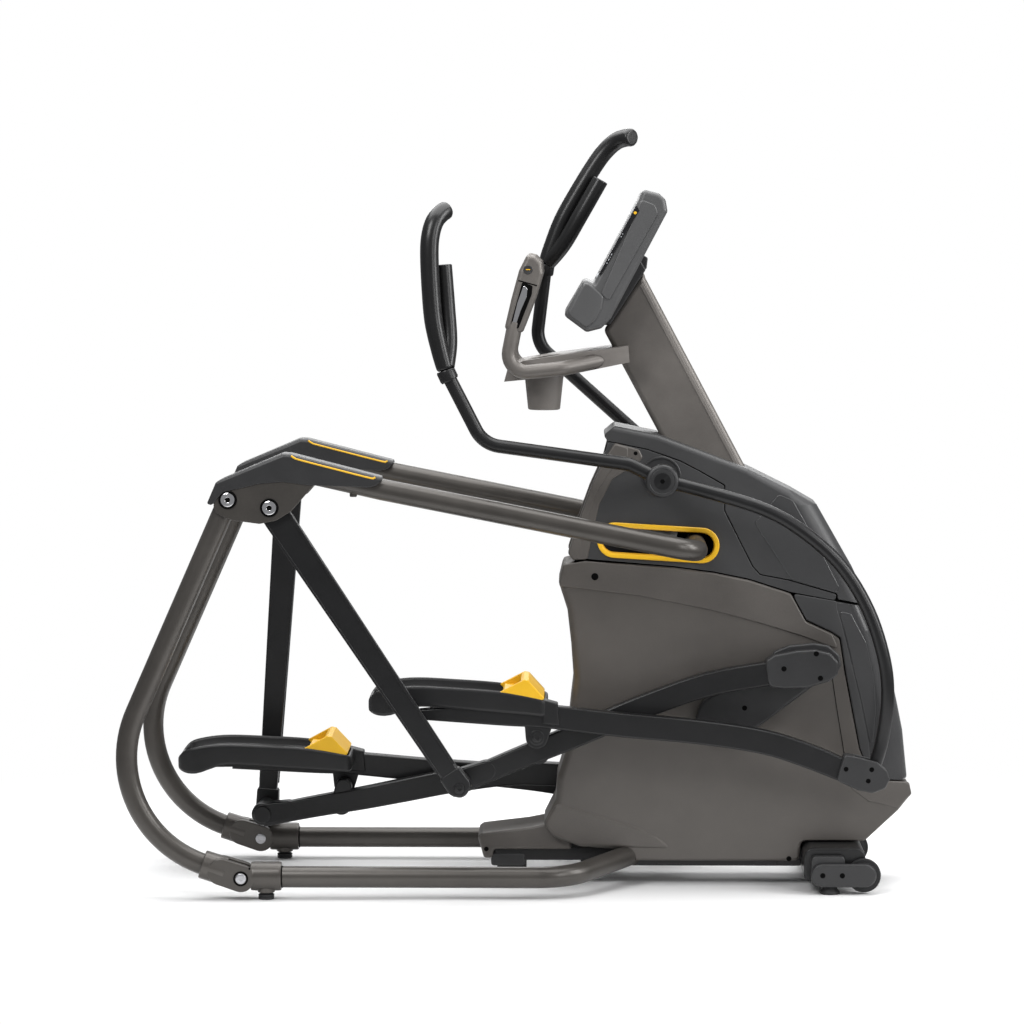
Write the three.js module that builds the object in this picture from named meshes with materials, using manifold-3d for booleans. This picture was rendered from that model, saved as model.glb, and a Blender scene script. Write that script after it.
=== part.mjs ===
// Front-drive elliptical trainer with hung pedal beams and a powered incline.
// Millimetres. +X points at the console, +Y to the rider's left, +Z up; the floor is Z = 0.
// Outlines lie in the X-Z plane as [x, z] and are given a span across the machine, in Y.
import * as THREE from "three";
import { mergeVertices } from "three/addons/utils/BufferGeometryUtils.js";
import Module from "manifold-3d";

const wasm = await Module();
wasm.setup();

// ---------------------------------------------------------------- driving dimensions
const RIGHT = -1; // the rider's right side, at negative Y
const LEFT = 1;
const CRANK = [486.7, 378.1]; // crank axle
const CRANK_THROW = 277.6;
const CRANK_ANGLE = 34.585; // right crank above horizontal at rest; the left one is opposite
const HANDLE_PIVOT = [339.4, 977.7];
const HANDLE_REACH = 854.4; // handle pivot to the pedal arm's front pin
const PEDAL_ARM_LENGTH = 790; // pedal pin to front pin
const HANGER_TOP = [-572, 919.7]; // pin that the swinging hanger hangs from
const HANGER_LENGTH = 790.1;
const BEAM_LENGTH = 890.9; // hanger pin to crank pin
const PEDAL_PIN_ON_BEAM = [204, 48]; // along and above the line between the beam's pins
const REAR_HINGE = [-642.5, 52.3]; // hinge of the rear upright on the base
const UPRIGHT_TOP = [-668.4, 938.2]; // pin between rear upright and upper tube
const ELBOW = [421, 815]; // where the upper tube turns in through the side cover

const FRAME_HALF = 310; // centre plane of base tubes, uprights, upper tubes and hangers
const HANDLE_HALF = 250;
const PEDAL_ARM_SPAN = [200, 240]; // |Y| span of each layer of the linkage
const BEAM_SPAN = [146, 190];
const CRANK_SPAN = [118, 138];
const CRANK_HUB = [15, 20]; // centre of the arm's broad end, from the axle
const CRANK_HUB_R = 65;
const CRANK_TIP_R = 34;
const FRONT_PIN_SPAN = [190.8, 249.2];
const FRONT_PIN_HEAD_R = 15;
const HANGER_SPAN = [292, 328];
const COVER_HALF = 110; // outside of the drive covers
const COVER_WALL = 5;
const CHEEK_SPAN = [50, 58]; // the two side plates of the drive frame

const TUBE_R = 25; // base, uprights and upper tubes
const BAR_R = 16; // handle arms
const GRIP_R = 20.5;
const GAP = 0.4; // clearance between pieces that touch
const ROUND = 16; // sides of a turned piece

// ---------------------------------------------------------------- plane geometry
const radians = (degrees) => (degrees * Math.PI) / 180;
const polar = (length, angle) => [length * Math.cos(angle), length * Math.sin(angle)];
const sum = (a, b) => [a[0] + b[0], a[1] + b[1]];
const minus = (a, b) => [a[0] - b[0], a[1] - b[1]];
const angleTo = (a, b) => Math.atan2(b[1] - a[1], b[0] - a[0]);
const turn = ([x, z], angle) => [
  x * Math.cos(angle) - z * Math.sin(angle),
  x * Math.sin(angle) + z * Math.cos(angle),
];

// The point at distance ra from a and rb from b, on the left of the way from a to b when side is 1.
function whereArmsMeet(a, ra, b, rb, side) {
  const span = Math.hypot(...minus(b, a));
  const along = (ra * ra - rb * rb + span * span) / (2 * span);
  const off = Math.sqrt(ra * ra - along * along);
  return sum(a, turn([along, side * off], angleTo(a, b)));
}

// Pins and angles of one side's linkage, from the angle of its crank.
function linkage(crankAngle) {
  const crankPin = sum(CRANK, polar(CRANK_THROW, crankAngle));
  const hangerPin = whereArmsMeet(HANGER_TOP, HANGER_LENGTH, crankPin, BEAM_LENGTH, -1);
  const beam = angleTo(hangerPin, crankPin);
  const pedalPin = sum(hangerPin, turn(PEDAL_PIN_ON_BEAM, beam));
  const frontPin = whereArmsMeet(HANDLE_PIVOT, HANDLE_REACH, pedalPin, PEDAL_ARM_LENGTH, 1);
  return {
    crankPin,
    hangerPin,
    pedalPin,
    frontPin,
    crank: crankAngle,
    beam,
    hanger: angleTo(HANGER_TOP, hangerPin),
    handle: angleTo(HANDLE_PIVOT, frontPin),
    pedalArm: angleTo(pedalPin, frontPin),
  };
}
const rightSide = linkage(radians(CRANK_ANGLE));
const leftSide = linkage(radians(CRANK_ANGLE + 180));

// ---------------------------------------------------------------- outlines
// A disc's outline, as a polygon.
function ring([x, z], r, sides = ROUND) {
  return Array.from({ length: sides }, (_, i) => sum([x, z], polar(r, (i * 2 * Math.PI) / sides)));
}

// The outline round two discs, which is a slot when both have one radius.
function link(a, ra, b, rb = ra, steps = 6) {
  const along = angleTo(a, b);
  const lean = Math.acos((ra - rb) / Math.hypot(...minus(b, a)));
  const points = [];
  for (let i = 0; i <= steps; i++) {
    points.push(sum(b, polar(rb, along - lean + (2 * lean * i) / steps)));
  }
  for (let i = 0; i <= steps; i++) {
    points.push(sum(a, polar(ra, along + lean + ((2 * Math.PI - 2 * lean) * i) / steps)));
  }
  return points;
}

// A band of changing half width about a centre line of [x, z, half width] points.
function band(line) {
  const normals = line.map((p, i) => {
    const before = line[Math.max(i - 1, 0)];
    const after = line[Math.min(i + 1, line.length - 1)];
    return polar(p[2], angleTo(before, after) + Math.PI / 2);
  });
  const upper = line.map((p, i) => sum(p, normals[i]));
  const lower = line.map((p, i) => minus(p, normals[i]));
  return [...lower, ...upper.reverse()];
}

const signedArea = (points) =>
  points.reduce((area, p, i) => {
    const q = points[(i + 1) % points.length];
    return area + (p[0] * q[1] - q[0] * p[1]) / 2;
  }, 0);

// The outline moved inwards by a distance (outwards if it is negative).
function inset(points, distance) {
  const ccw = signedArea(points) > 0 ? points : [...points].reverse();
  const count = ccw.length;
  return ccw.map((p, i) => {
    const before = angleTo(ccw[(i + count - 1) % count], p);
    const after = angleTo(p, ccw[(i + 1) % count]);
    const half = (after - before) / 2;
    const bisector = before + half + Math.PI / 2;
    return sum(p, polar(distance / Math.cos(half), bisector));
  });
}

// The outline with its corners rounded.
function rounded(points, radius, steps = 4) {
  const count = points.length;
  return points.flatMap((p, i) => {
    const a = minus(points[(i + count - 1) % count], p);
    const b = minus(points[(i + 1) % count], p);
    const reach = Math.min(radius, Math.hypot(...a) / 2.2, Math.hypot(...b) / 2.2);
    const start = new THREE.Vector2(...sum(p, polar(reach, Math.atan2(a[1], a[0]))));
    const end = new THREE.Vector2(...sum(p, polar(reach, Math.atan2(b[1], b[0]))));
    const curve = new THREE.QuadraticBezierCurve(start, new THREE.Vector2(...p), end);
    return curve.getPoints(steps).map((v) => [v.x, v.y]);
  });
}

// ---------------------------------------------------------------- solids
function solidOf(geometry) {
  const bare = geometry.index ? geometry.toNonIndexed() : geometry.clone();
  bare.deleteAttribute("normal");
  bare.deleteAttribute("uv");
  const merged = mergeVertices(bare, 1e-3);
  return new wasm.Manifold(
    new wasm.Mesh({
      numProp: 3,
      vertProperties: merged.attributes.position.array,
      triVerts: new Uint32Array(merged.index.array),
    }),
  );
}
const join = (first, ...others) => others.reduce((whole, s) => whole.add(s), first);
const cut = (first, ...others) => others.reduce((whole, s) => whole.subtract(s), first);

// An outline made solid between two Y values.
function plate(points, [from, to]) {
  const shape = new THREE.Shape(points.map(([x, z]) => new THREE.Vector2(x, z)));
  const [low, high] = from < to ? [from, to] : [to, from];
  const geometry = new THREE.ExtrudeGeometry(shape, { depth: high - low, bevelEnabled: false });
  return solidOf(geometry.rotateX(Math.PI / 2).translate(0, high, 0));
}
const across = (half) => [-half, half];
const onSide = (side, [near, far]) => [side * near, side * far];

// Round bars along Y, X and Z.
function pin([x, z], r, [from, to], sides = r < 20 ? 12 : ROUND) {
  const length = Math.abs(to - from);
  const geometry = new THREE.CylinderGeometry(r, r, length, sides);
  return solidOf(geometry.translate(x, (from + to) / 2, z));
}
// A hole that clears a round bar of radius r at any angle.
function bore(at, r, span) {
  return pin(at, (r + GAP) / Math.cos(Math.PI / 12), span, 12);
}
function block([x0, x1], [y0, y1], [z0, z1]) {
  const geometry = new THREE.BoxGeometry(x1 - x0, Math.abs(y1 - y0), z1 - z0);
  return solidOf(geometry.translate((x0 + x1) / 2, (y0 + y1) / 2, (z0 + z1) / 2));
}

// A piece turned about a vertical axis from [radius, height] points.
function turned(profile, [x, y], sides = ROUND) {
  const points = profile.map(([r, z]) => new THREE.Vector2(r, z));
  const geometry = new THREE.LatheGeometry(points, sides);
  return solidOf(geometry.rotateX(Math.PI / 2).translate(x, y, 0));
}

// A path through listed points whose rings are set where the path turns.
class RingPath extends THREE.Curve {
  constructor(points) {
    super();
    this.points = points;
  }
  getPoint(t) {
    const place = t * (this.points.length - 1);
    const i = Math.min(Math.floor(place), this.points.length - 2);
    return this.points[i].clone().lerp(this.points[i + 1], place - i);
  }
  getPointAt(u) {
    return this.getPoint(u);
  }
  getTangentAt(u) {
    const i = Math.round(u * (this.points.length - 1));
    const before = this.points[Math.max(i - 1, 0)];
    const after = this.points[Math.min(i + 1, this.points.length - 1)];
    const here = this.points[i];
    const into = i > 0 ? here.clone().sub(before).normalize() : new THREE.Vector3();
    const out = after.clone().sub(here).normalize();
    return into.add(out).normalize();
  }
}

// Ring places along straight runs joined by bends of one radius.
function bent(corners, radius, steps = 4) {
  const at = corners.map((c) => new THREE.Vector3(...c));
  const places = [at[0]];
  for (let i = 1; i < at.length - 1; i++) {
    const back = at[i - 1].clone().sub(at[i]).normalize();
    const on = at[i + 1].clone().sub(at[i]).normalize();
    const half = back.angleTo(on) / 2;
    const reach = radius / Math.tan(half);
    const centre = back.clone().add(on).normalize().multiplyScalar(radius / Math.sin(half)).add(at[i]);
    const start = back.clone().multiplyScalar(reach).add(at[i]).sub(centre);
    const end = on.clone().multiplyScalar(reach).add(at[i]).sub(centre);
    const sweep = start.angleTo(end);
    for (let k = 0; k <= steps; k++) {
      const t = k / steps;
      const a = start.clone().multiplyScalar(Math.sin((1 - t) * sweep) / Math.sin(sweep));
      const b = end.clone().multiplyScalar(Math.sin(t * sweep) / Math.sin(sweep));
      places.push(a.add(b).add(centre));
    }
  }
  return [...places, at.at(-1)];
}

// Ring places on a smooth curve through a few points.
function smooth(points, steps = 14) {
  const curve = new THREE.CatmullRomCurve3(points.map((p) => new THREE.Vector3(...p)));
  return curve.getSpacedPoints(steps);
}

// A round bar along ring places.
function tube(places, r, sides = 10) {
  const section = new THREE.Shape(ring([0, 0], r, sides).map(([x, y]) => new THREE.Vector2(x, y)));
  const options = { steps: places.length - 1, extrudePath: new RingPath(places) };
  return solidOf(new THREE.ExtrudeGeometry(section, options));
}

// ---------------------------------------------------------------- scene graph
const trainer = new THREE.Group();
const material = (color, roughness, metalness) =>
  new THREE.MeshStandardMaterial({ color, roughness, metalness });
const BRONZE = material(0x5d5853, 0.45, 0.6);
const BLACK_STEEL = material(0x26262a, 0.5, 0.4);
const DARK_PLASTIC = material(0x39393b, 0.6, 0);
const GREY_PLASTIC = material(0x55565a, 0.45, 0.1);
const YELLOW = material(0xe9b51a, 0.5, 0);
const RUBBER = material(0x1b1b1c, 0.85, 0);
const STEEL = material(0xb4b6b9, 0.3, 0.9);
const SCREEN = material(0x0b0c0e, 0.1, 0);

function addPart(name, solid, look, group = trainer) {
  const made = solid.getMesh();
  const geometry = new THREE.BufferGeometry();
  geometry.setAttribute("position", new THREE.BufferAttribute(made.vertProperties, 3));
  geometry.setIndex(new THREE.BufferAttribute(made.triVerts, 1));
  const mesh = new THREE.Mesh(geometry, look);
  mesh.name = name;
  group.add(mesh);
}

// A group whose own X axis leaves a pin at an angle above horizontal.
function linkGroup([x, z], angle) {
  const group = new THREE.Group();
  group.position.set(x, 0, z);
  group.rotation.y = -angle;
  trainer.add(group);
  return group;
}
const BOTH = [
  { name: "right", side: RIGHT, pins: rightSide },
  { name: "left", side: LEFT, pins: leftSide },
];

// ---------------------------------------------------------------- base
const RAIL_SPAN = [45, 85];
const RAIL_HEIGHT = [58, 86];
const BASE_BEND = [120, FRAME_HALF, 52];
const BASE_FRONT = [290, 49, 73];
const CLAMP_R = 33;
const CLAMP_X = [-620, -549];
const LUG_HALF = 12;
const HINGE_PIN_R = 10;
const REAR_FOOT_X = -585;
const FRONT_FOOT_X = 737;

function baseTubePlaces(side) {
  return bent(
    [
      [CLAMP_X[1] - 20, FRAME_HALF, 52],
      BASE_BEND,
      BASE_FRONT,
    ].map(([x, y, z]) => [x, side * y, z]),
    130,
  );
}

function baseTube(side) {
  const [hingeX, hingeZ] = REAR_HINGE;
  const clampLength = CLAMP_X[1] - CLAMP_X[0];
  const clampBar = new THREE.CylinderGeometry(CLAMP_R, CLAMP_R, clampLength, ROUND).rotateZ(Math.PI / 2);
  const clamp = solidOf(clampBar.translate((CLAMP_X[0] + CLAMP_X[1]) / 2, side * FRAME_HALF, 54));
  const lugSpan = onSide(side, [FRAME_HALF - LUG_HALF, FRAME_HALF + LUG_HALF]);
  const lug = plate(link(REAR_HINGE, 22, [hingeX + 50, hingeZ + 1]), lugSpan);
  const boss = turned([[0, 16.4], [19, 16.4], [22, 34], [0, 34]], [REAR_FOOT_X, side * FRAME_HALF]);
  const hingeRoom = pin(REAR_HINGE, CLAMP_R + 2.5, onSide(side, [FRAME_HALF - 40, FRAME_HALF + 40]));
  const hingeBore = bore(REAR_HINGE, HINGE_PIN_R, onSide(side, [FRAME_HALF - 40, FRAME_HALF + 40]));
  const bar = cut(
    tube(baseTubePlaces(side), TUBE_R),
    block([150, 400], across(RAIL_SPAN[1] + GAP), [0, 140]),
  );
  return cut(join(cut(join(clamp, boss), hingeRoom), lug, bar), hingeBore);
}

function foot(x, y, profile) {
  return turned(profile, [x, y]);
}
const REAR_FOOT = [[0, 0], [18.5, 0], [18.5, 12], [9, 13], [9, 16], [0, 16]];
const FRONT_FOOT = [[0, 0], [23, 0], [24, 3], [17, 18.6], [0, 18.6]];

for (const { name, side } of BOTH) {
  addPart(`${name}_base_tube`, baseTube(side), BRONZE);
  addPart(`${name}_rear_foot`, foot(REAR_FOOT_X, side * FRAME_HALF, REAR_FOOT), RUBBER);
  addPart(`${name}_front_foot`, foot(FRONT_FOOT_X, side * 216, FRONT_FOOT), RUBBER);
}

// The front stabiliser carries the transport wheels between its end and its end caps.
const WHEEL_CENTRE = [817, 44];
const WHEEL_R = 40;
const WHEEL_SPAN = [208, 226];
const CAP_SPAN = [228, 244];
const BEAM_HALF = 205;

function frontStabiliser() {
  const beam = plate(rounded([[677, 30], [677, 106], [822, 106], [822, 30]], 22), across(BEAM_HALF));
  const ends = [RIGHT, LEFT].flatMap((side) => [
    plate(rounded([[693, 19], [693, 74], [772, 74], [772, 19]], 10), onSide(side, [BEAM_HALF - 5, 230])),
    plate(link([719, 46.5], 27.5, [818, 46.5]), onSide(side, CAP_SPAN)),
    pin(WHEEL_CENTRE, 7.5, onSide(side, [BEAM_HALF - 3, CAP_SPAN[0] + 2])),
  ]);
  return join(beam, ...ends);
}
addPart("front_stabiliser", frontStabiliser(), BLACK_STEEL);

for (const { name, side } of BOTH) {
  const tyre = pin(WHEEL_CENTRE, WHEEL_R, onSide(side, WHEEL_SPAN), 28);
  const axleBore = bore(WHEEL_CENTRE, 7.5, onSide(side, [200, 240]));
  addPart(`${name}_wheel`, cut(tyre, axleBore), RUBBER);
}

// ---------------------------------------------------------------- drive frame and drive
const FLYWHEEL = [320, 610];
const PULLEY_SPAN = [20, 36];
const PULLEY_R = 140;
const FLYWHEEL_PULLEY_R = 35;
const AXLE_R = 15;

function driveFrame() {
  const [near, far] = CHEEK_SPAN;
  const post = rounded([[430, 60], [610, 60], [592, 320], [585, 905], [505, 905], [505, 480], [430, 400]], 30);
  const sides = [RIGHT, LEFT].flatMap((side) => {
    const span = onSide(side, [near, far]);
    const railSpan = onSide(side, RAIL_SPAN);
    return [
      block([-55, 676], [Math.min(...railSpan), Math.max(...railSpan)], RAIL_HEIGHT),
      cut(plate(post, span), pin(CRANK, AXLE_R + 1, onSide(side, [near - 5, far + 5]))),
      plate(link(HANDLE_PIVOT, 36, [545, 870]), span),
      cut(plate(link(FLYWHEEL, 24, [545, 610]), span), pin(FLYWHEEL, 11, onSide(side, [near - 5, far + 5]))),
    ];
  });
  const ties = [
    pin(HANDLE_PIVOT, 30, across(62)),
    pin([560, 140], 12, across(near + 2)),
    pin([550, 730], 12, across(near + 2)),
    block([-50, 20], across(near), [4, 84]),
    block([620, 670], across(near), RAIL_HEIGHT),
  ];
  return join(...sides, ...ties);
}
addPart("drive_frame", driveFrame(), BLACK_STEEL);

function drivePulley() {
  const wheel = pin(CRANK, PULLEY_R, PULLEY_SPAN, 32);
  return join(wheel, pin(CRANK, AXLE_R, across(CRANK_SPAN[0] - GAP)), pin(CRANK, 30, [12, 44]));
}
function flywheel() {
  return join(
    pin(FLYWHEEL, 105, [-30, 10], 28),
    pin(FLYWHEEL, FLYWHEEL_PULLEY_R, [8, PULLEY_SPAN[1]]),
    pin(FLYWHEEL, 10, across(CHEEK_SPAN[1])),
  );
}
function driveBelt() {
  const loop = (grow) => link(CRANK, PULLEY_R + grow, FLYWHEEL, FLYWHEEL_PULLEY_R + grow, 14);
  return cut(plate(loop(5), [22, 34]), plate(loop(2), [21, 35]));
}
addPart("drive_pulley", drivePulley(), STEEL);
addPart("flywheel", flywheel(), STEEL);
addPart("drive_belt", driveBelt(), RUBBER);

// The incline actuator's screw runs along the path of the carriage between the upper tubes.
const SCREW_FRONT = [640, 804.6];
const SCREW_REAR = [196, 825.6];
function inclineActuator() {
  const motor = block([622, 712], across(42), [768, 846]);
  return join(motor, plate(band([[...SCREW_REAR, 9], [...SCREW_FRONT, 9]]), across(9)));
}
addPart("incline_actuator", inclineActuator(), DARK_PLASTIC);

// ---------------------------------------------------------------- covers
const LOWER_COVER = [
  [60, 146], [85, 115], [151, 91], [668, 84], [673, 109], [826, 109], [905, 183], [935, 222], [928, 250],
  [852, 256], [822, 300], [812, 330], [765, 590], [745, 612], [690, 632], [640, 709], [549, 733],
  [368, 763], [160, 780], [108, 772], [97, 726], [118, 660], [127, 581], [133, 496], [126, 436],
  [115, 325], [94, 257], [90, 205],
];
const UPPER_COVER = [
  [130, 781], [160, 781.5], [368, 764.5], [549, 734.5], [640, 711], [558, 872], [531, 918],
  [487, 967], [428, 992], [214, 1060], [193, 1016], [157, 920], [119, 799],
];
const TOP_COVER = [
  [203, 1077], [229, 1098], [331, 1077], [427, 1041], [547, 995], [651, 944], [716, 910], [793, 764],
  [838, 670], [645, 711.5], [560, 873], [533, 919], [489, 968], [429, 993.5], [212, 1062],
];
const FRONT_COVER = [
  [643, 710], [838, 668.5], [858, 622], [886, 518], [917, 370], [929, 251.5], [853, 257.5],
  [823.5, 301], [813.5, 331], [766.5, 591], [746, 613.5], [691.5, 633.5],
];
// The inside of all four covers together, open below.
const COVER_INSIDE = inset(
  [
    [60, 0], [60, 146], [90, 205], [94, 257], [115, 325], [126, 436], [133, 496], [127, 581], [118, 660],
    [97, 726], [119, 799], [157, 920], [193, 1016], [212, 1062], [229, 1098], [331, 1077], [427, 1041],
    [547, 995], [651, 944], [716, 910], [793, 764], [838, 670], [858, 622], [886, 518], [917, 370],
    [929, 250], [905, 183], [826, 109], [826, 0],
  ],
  COVER_WALL,
);
const SLOT = [[230, 827], [436, 814.5]]; // centres of the incline slot's ends
const SLOT_R = 31;
const coverRoom = plate(COVER_INSIDE, across(COVER_HALF - COVER_WALL));
const MAST_FOOT = [[395, 966], [556, 969]];
const MAST = [[204.2, 1320.6], [298, 1461], [302, 1447], MAST_FOOT[1], MAST_FOOT[0]];
const MAST_HALF = 48;

function sideCover(outline, side, ...holes) {
  const slab = plate(inset(outline, GAP / 2), onSide(side, [GAP, COVER_HALF]));
  return cut(slab, coverRoom, ...holes);
}
function fullCover(outline, ...holes) {
  return cut(plate(inset(outline, GAP / 2), across(COVER_HALF)), coverRoom, ...holes);
}

for (const { name, side } of BOTH) {
  const through = onSide(side, [COVER_HALF - 20, COVER_HALF + 20]);
  const tubeArch = tube(baseTubePlaces(side), TUBE_R + 2.5);
  const lower = sideCover(LOWER_COVER, side, pin(CRANK, AXLE_R + 4, through), tubeArch);
  const slotHole = plate(link(SLOT[0], SLOT_R, SLOT[1]), through);
  const upper = sideCover(UPPER_COVER, side, pin(HANDLE_PIVOT, 28, through), slotHole);
  const trimRing = plate(link(SLOT[0], SLOT_R + 11, SLOT[1]), onSide(side, [COVER_HALF + GAP, 115]));
  addPart(`${name}_lower_cover`, lower, BRONZE);
  addPart(`${name}_upper_cover`, upper, DARK_PLASTIC);
  addPart(`${name}_slot_trim`, cut(trimRing, slotHole), YELLOW);
}
const mastRoom = plate(inset(MAST, -2), across(MAST_HALF + 2));
addPart("top_cover", fullCover(TOP_COVER, mastRoom), DARK_PLASTIC);
addPart("front_cover", fullCover(FRONT_COVER), GREY_PLASTIC);

// The spine cover runs back over the tail of the drive frame.
const SPINE_COVER = [[-95, 116], [-84, 124], [25, 137], [57, 138], [57, 90], [-70, 90], [-76, 64], [-86, 68]];
function spineCover() {
  const inside = [[-58, 40], [-58, 112], [25, 128], [70, 128], [70, 40]];
  return cut(plate(SPINE_COVER, across(92)), plate(inside, across(88)));
}
addPart("spine_cover", spineCover(), BRONZE);

// ---------------------------------------------------------------- mast, console and fixed bar
const BAR_HALF = 171; // centre plane of each upright of the fixed bar
const CONSOLE = [
  [296, 1655], [330, 1646], [343, 1637], [353, 1602], [205, 1345], [185, 1322], [157, 1319], [108, 1359],
  [160, 1445], [177, 1429], [289, 1636],
];
const CONSOLE_BRACKET = [[296, 1503], [300, 1467], [203.5, 1322.6], [190, 1330], [282, 1485]];
const FACE = { foot: [177, 1429], angle: angleTo([177, 1429], [286, 1630]) };
const SCREEN_LENGTH = 216;
const SCREEN_HALF = 170;

// A point so far along the console's face and so deep behind it.
const onFace = (along, depth) => sum(FACE.foot, turn([along, -depth], FACE.angle));
const faceSlab = (from, to, out, deep) => [
  onFace(from, out), onFace(to, out), onFace(to, deep), onFace(from, deep),
];

addPart("mast", plate(MAST, across(MAST_HALF)), BRONZE);
function consoleHousing() {
  const body = plate(rounded(CONSOLE, 8, 2), across(185));
  const bracket = plate(CONSOLE_BRACKET, across(62));
  const screenRoom = plate(faceSlab(3, SCREEN_LENGTH + 1, -20, 8.5), across(SCREEN_HALF + GAP));
  return cut(join(body, bracket), screenRoom);
}
addPart("console_housing", consoleHousing(), GREY_PLASTIC);
addPart(
  "console_screen",
  plate(faceSlab(3 + GAP, SCREEN_LENGTH, 1, 8), across(SCREEN_HALF)),
  SCREEN,
);

const TRAY = [[-32, 1203], [-23, 1236], [13, 1252], [100, 1266], [261, 1287], [264, 1249], [104, 1216]];
const CUP_CENTRE = [62, -62];
const FIXED_BAR_R = 17;

function fixedBarPlaces() {
  const half = (side) => [
    [-6, side * BAR_HALF, 1345],
    [-30, side * BAR_HALF, 1222],
    [105, side * BAR_HALF, 1236],
    [218, side * 100, 1257],
  ];
  return bent([...half(RIGHT), ...half(LEFT).reverse()], 42, 3);
}
function accessoryTray() {
  const shell = cut(
    plate(TRAY, across(130)),
    plate([[-24, 1190], [-18, 1231], [14, 1246], [100, 1260], [255, 1281], [270, 1190]], across(126)),
  );
  const cupHole = turned([[0, 1100], [41, 1100], [41, 1300], [0, 1300]], CUP_CENTRE);
  const mastSlot = plate(inset(MAST, -1), across(MAST_HALF + 1));
  return cut(shell, cupHole, mastSlot, tube(fixedBarPlaces(), FIXED_BAR_R + 1.5));
}
addPart("accessory_tray", accessoryTray(), BRONZE);

function bottleCup() {
  const outside = [[0, 1134], [38, 1134], [45.5, 1210], [45.5, 1236], [39.5, 1236], [39.5, 1212]];
  return turned([...outside, [34, 1139], [0, 1139]], CUP_CENTRE, 24);
}
addPart("bottle_cup", bottleCup(), BRONZE);

const POD = [[23, 1504], [56, 1484], [61, 1462], [14, 1322], [-8, 1316], [-30, 1331], [2, 1462]];
const TOGGLE = [25, 1468];
const TOGGLE_R = 11;
function fixedHandlebar() {
  const pods = [RIGHT, LEFT].map((side) => {
    const pod = plate(rounded(POD, 14, 3), onSide(side, [BAR_HALF - 15, BAR_HALF + 15]));
    const socket = onSide(side, [BAR_HALF + 7, BAR_HALF + 25]);
    return cut(pod, pin(TOGGLE, TOGGLE_R + GAP, socket));
  });
  return join(tube(fixedBarPlaces(), FIXED_BAR_R, 8), ...pods);
}
addPart("fixed_handlebar", fixedHandlebar(), BRONZE);
addPart("incline_button", pin(TOGGLE, TOGGLE_R, onSide(RIGHT, [BAR_HALF + 10, BAR_HALF + 17])), DARK_PLASTIC);
addPart(
  "resistance_button",
  pin(TOGGLE, TOGGLE_R, onSide(LEFT, [BAR_HALF + 10, BAR_HALF + 17])),
  DARK_PLASTIC,
);

// ---------------------------------------------------------------- incline frame
const UPRIGHT_BEND = 264;
const BRACKET_SPANS = [[276.5, 282.5], [337.5, 343.5]];
const BRACKET_WIDTH = [BRACKET_SPANS[0][0], BRACKET_SPANS[1][1]];
const BRACKET = [
  [-702, 920], [-683, 899], [-626, 887], [-584, 883], [-541, 897], [-498, 944], [-462, 980],
  [-540, 1020], [-600, 1004], [-690, 966],
];
const APEX_CAP = [
  [-716, 930], [-697, 977], [-537, 1047], [-311, 990], [-323, 973], [-342, 968], [-479, 973],
  [-541, 981], [-597, 976], [-659, 961], [-687, 944],
];
const PIN_R = 11;
const HEAD_R = 17;
const HEAD_SPAN = [BRACKET_WIDTH[1] + GAP, BRACKET_WIDTH[1] + 8];

function boltThrough(at, side) {
  return join(
    pin(at, PIN_R, onSide(side, [BRACKET_WIDTH[0] - 5, HEAD_SPAN[1]])),
    pin(at, HEAD_R, onSide(side, HEAD_SPAN)),
    pin(at, HEAD_R, onSide(side, [BRACKET_WIDTH[0] - 6, BRACKET_WIDTH[0] - GAP])),
  );
}

function rearUpright(side) {
  const corner = [-1006, 169];
  const run = angleTo(REAR_HINGE, corner);
  const eyeSpan = onSide(side, [FRAME_HALF - 26.5, FRAME_HALF + 26.5]);
  const earSpan = onSide(side, [FRAME_HALF - 33, FRAME_HALF + 33]);
  const slotSpan = onSide(side, [FRAME_HALF - LUG_HALF - GAP, FRAME_HALF + LUG_HALF + GAP]);
  const onPlane = ([x, z]) => [x, side * FRAME_HALF, z];
  const bar = tube(
    bent([UPRIGHT_TOP, corner, sum(REAR_HINGE, polar(60, run))].map(onPlane), UPRIGHT_BEND, 9),
    TUBE_R,
  );
  const sleeveEnds = [97, 40].map((d) => new THREE.Vector3(...onPlane(sum(REAR_HINGE, polar(d, run)))));
  const sleeve = tube(sleeveEnds, CLAMP_R, ROUND);
  const ears = plate(link(REAR_HINGE, CLAMP_R - 3, sum(REAR_HINGE, polar(48, run))), earSpan);
  const lugRoom = plate(link(REAR_HINGE, CLAMP_R + 3, sum(REAR_HINGE, [30, 0])), slotSpan);
  return join(
    cut(join(bar, sleeve, ears, pin(UPRIGHT_TOP, 27, eyeSpan)), lugRoom),
    pin(REAR_HINGE, HINGE_PIN_R, onSide(side, [FRAME_HALF - 34, FRAME_HALF + 34])),
    boltThrough(UPRIGHT_TOP, side),
  );
}

const UPPER_RUN = [[-520, 1007], [-313, 960], ELBOW];
function upperTube(side) {
  const onPlane = ([x, z]) => [x, side * FRAME_HALF, z];
  const places = bent([...UPPER_RUN.map(onPlane), [ELBOW[0], side * 24, ELBOW[1]]], 60, 4);
  const cheeks = BRACKET_SPANS.map((span) => plate(rounded(BRACKET, 12, 3), onSide(side, span)));
  const web = plate(link([-640, 984], 9, [-500, 1004]), onSide(side, BRACKET_WIDTH));
  const bores = [UPRIGHT_TOP, HANGER_TOP].map((at) => bore(at, PIN_R, onSide(side, [260, 360])));
  return cut(join(tube(places, TUBE_R), ...cheeks, web), ...bores);
}

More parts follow.
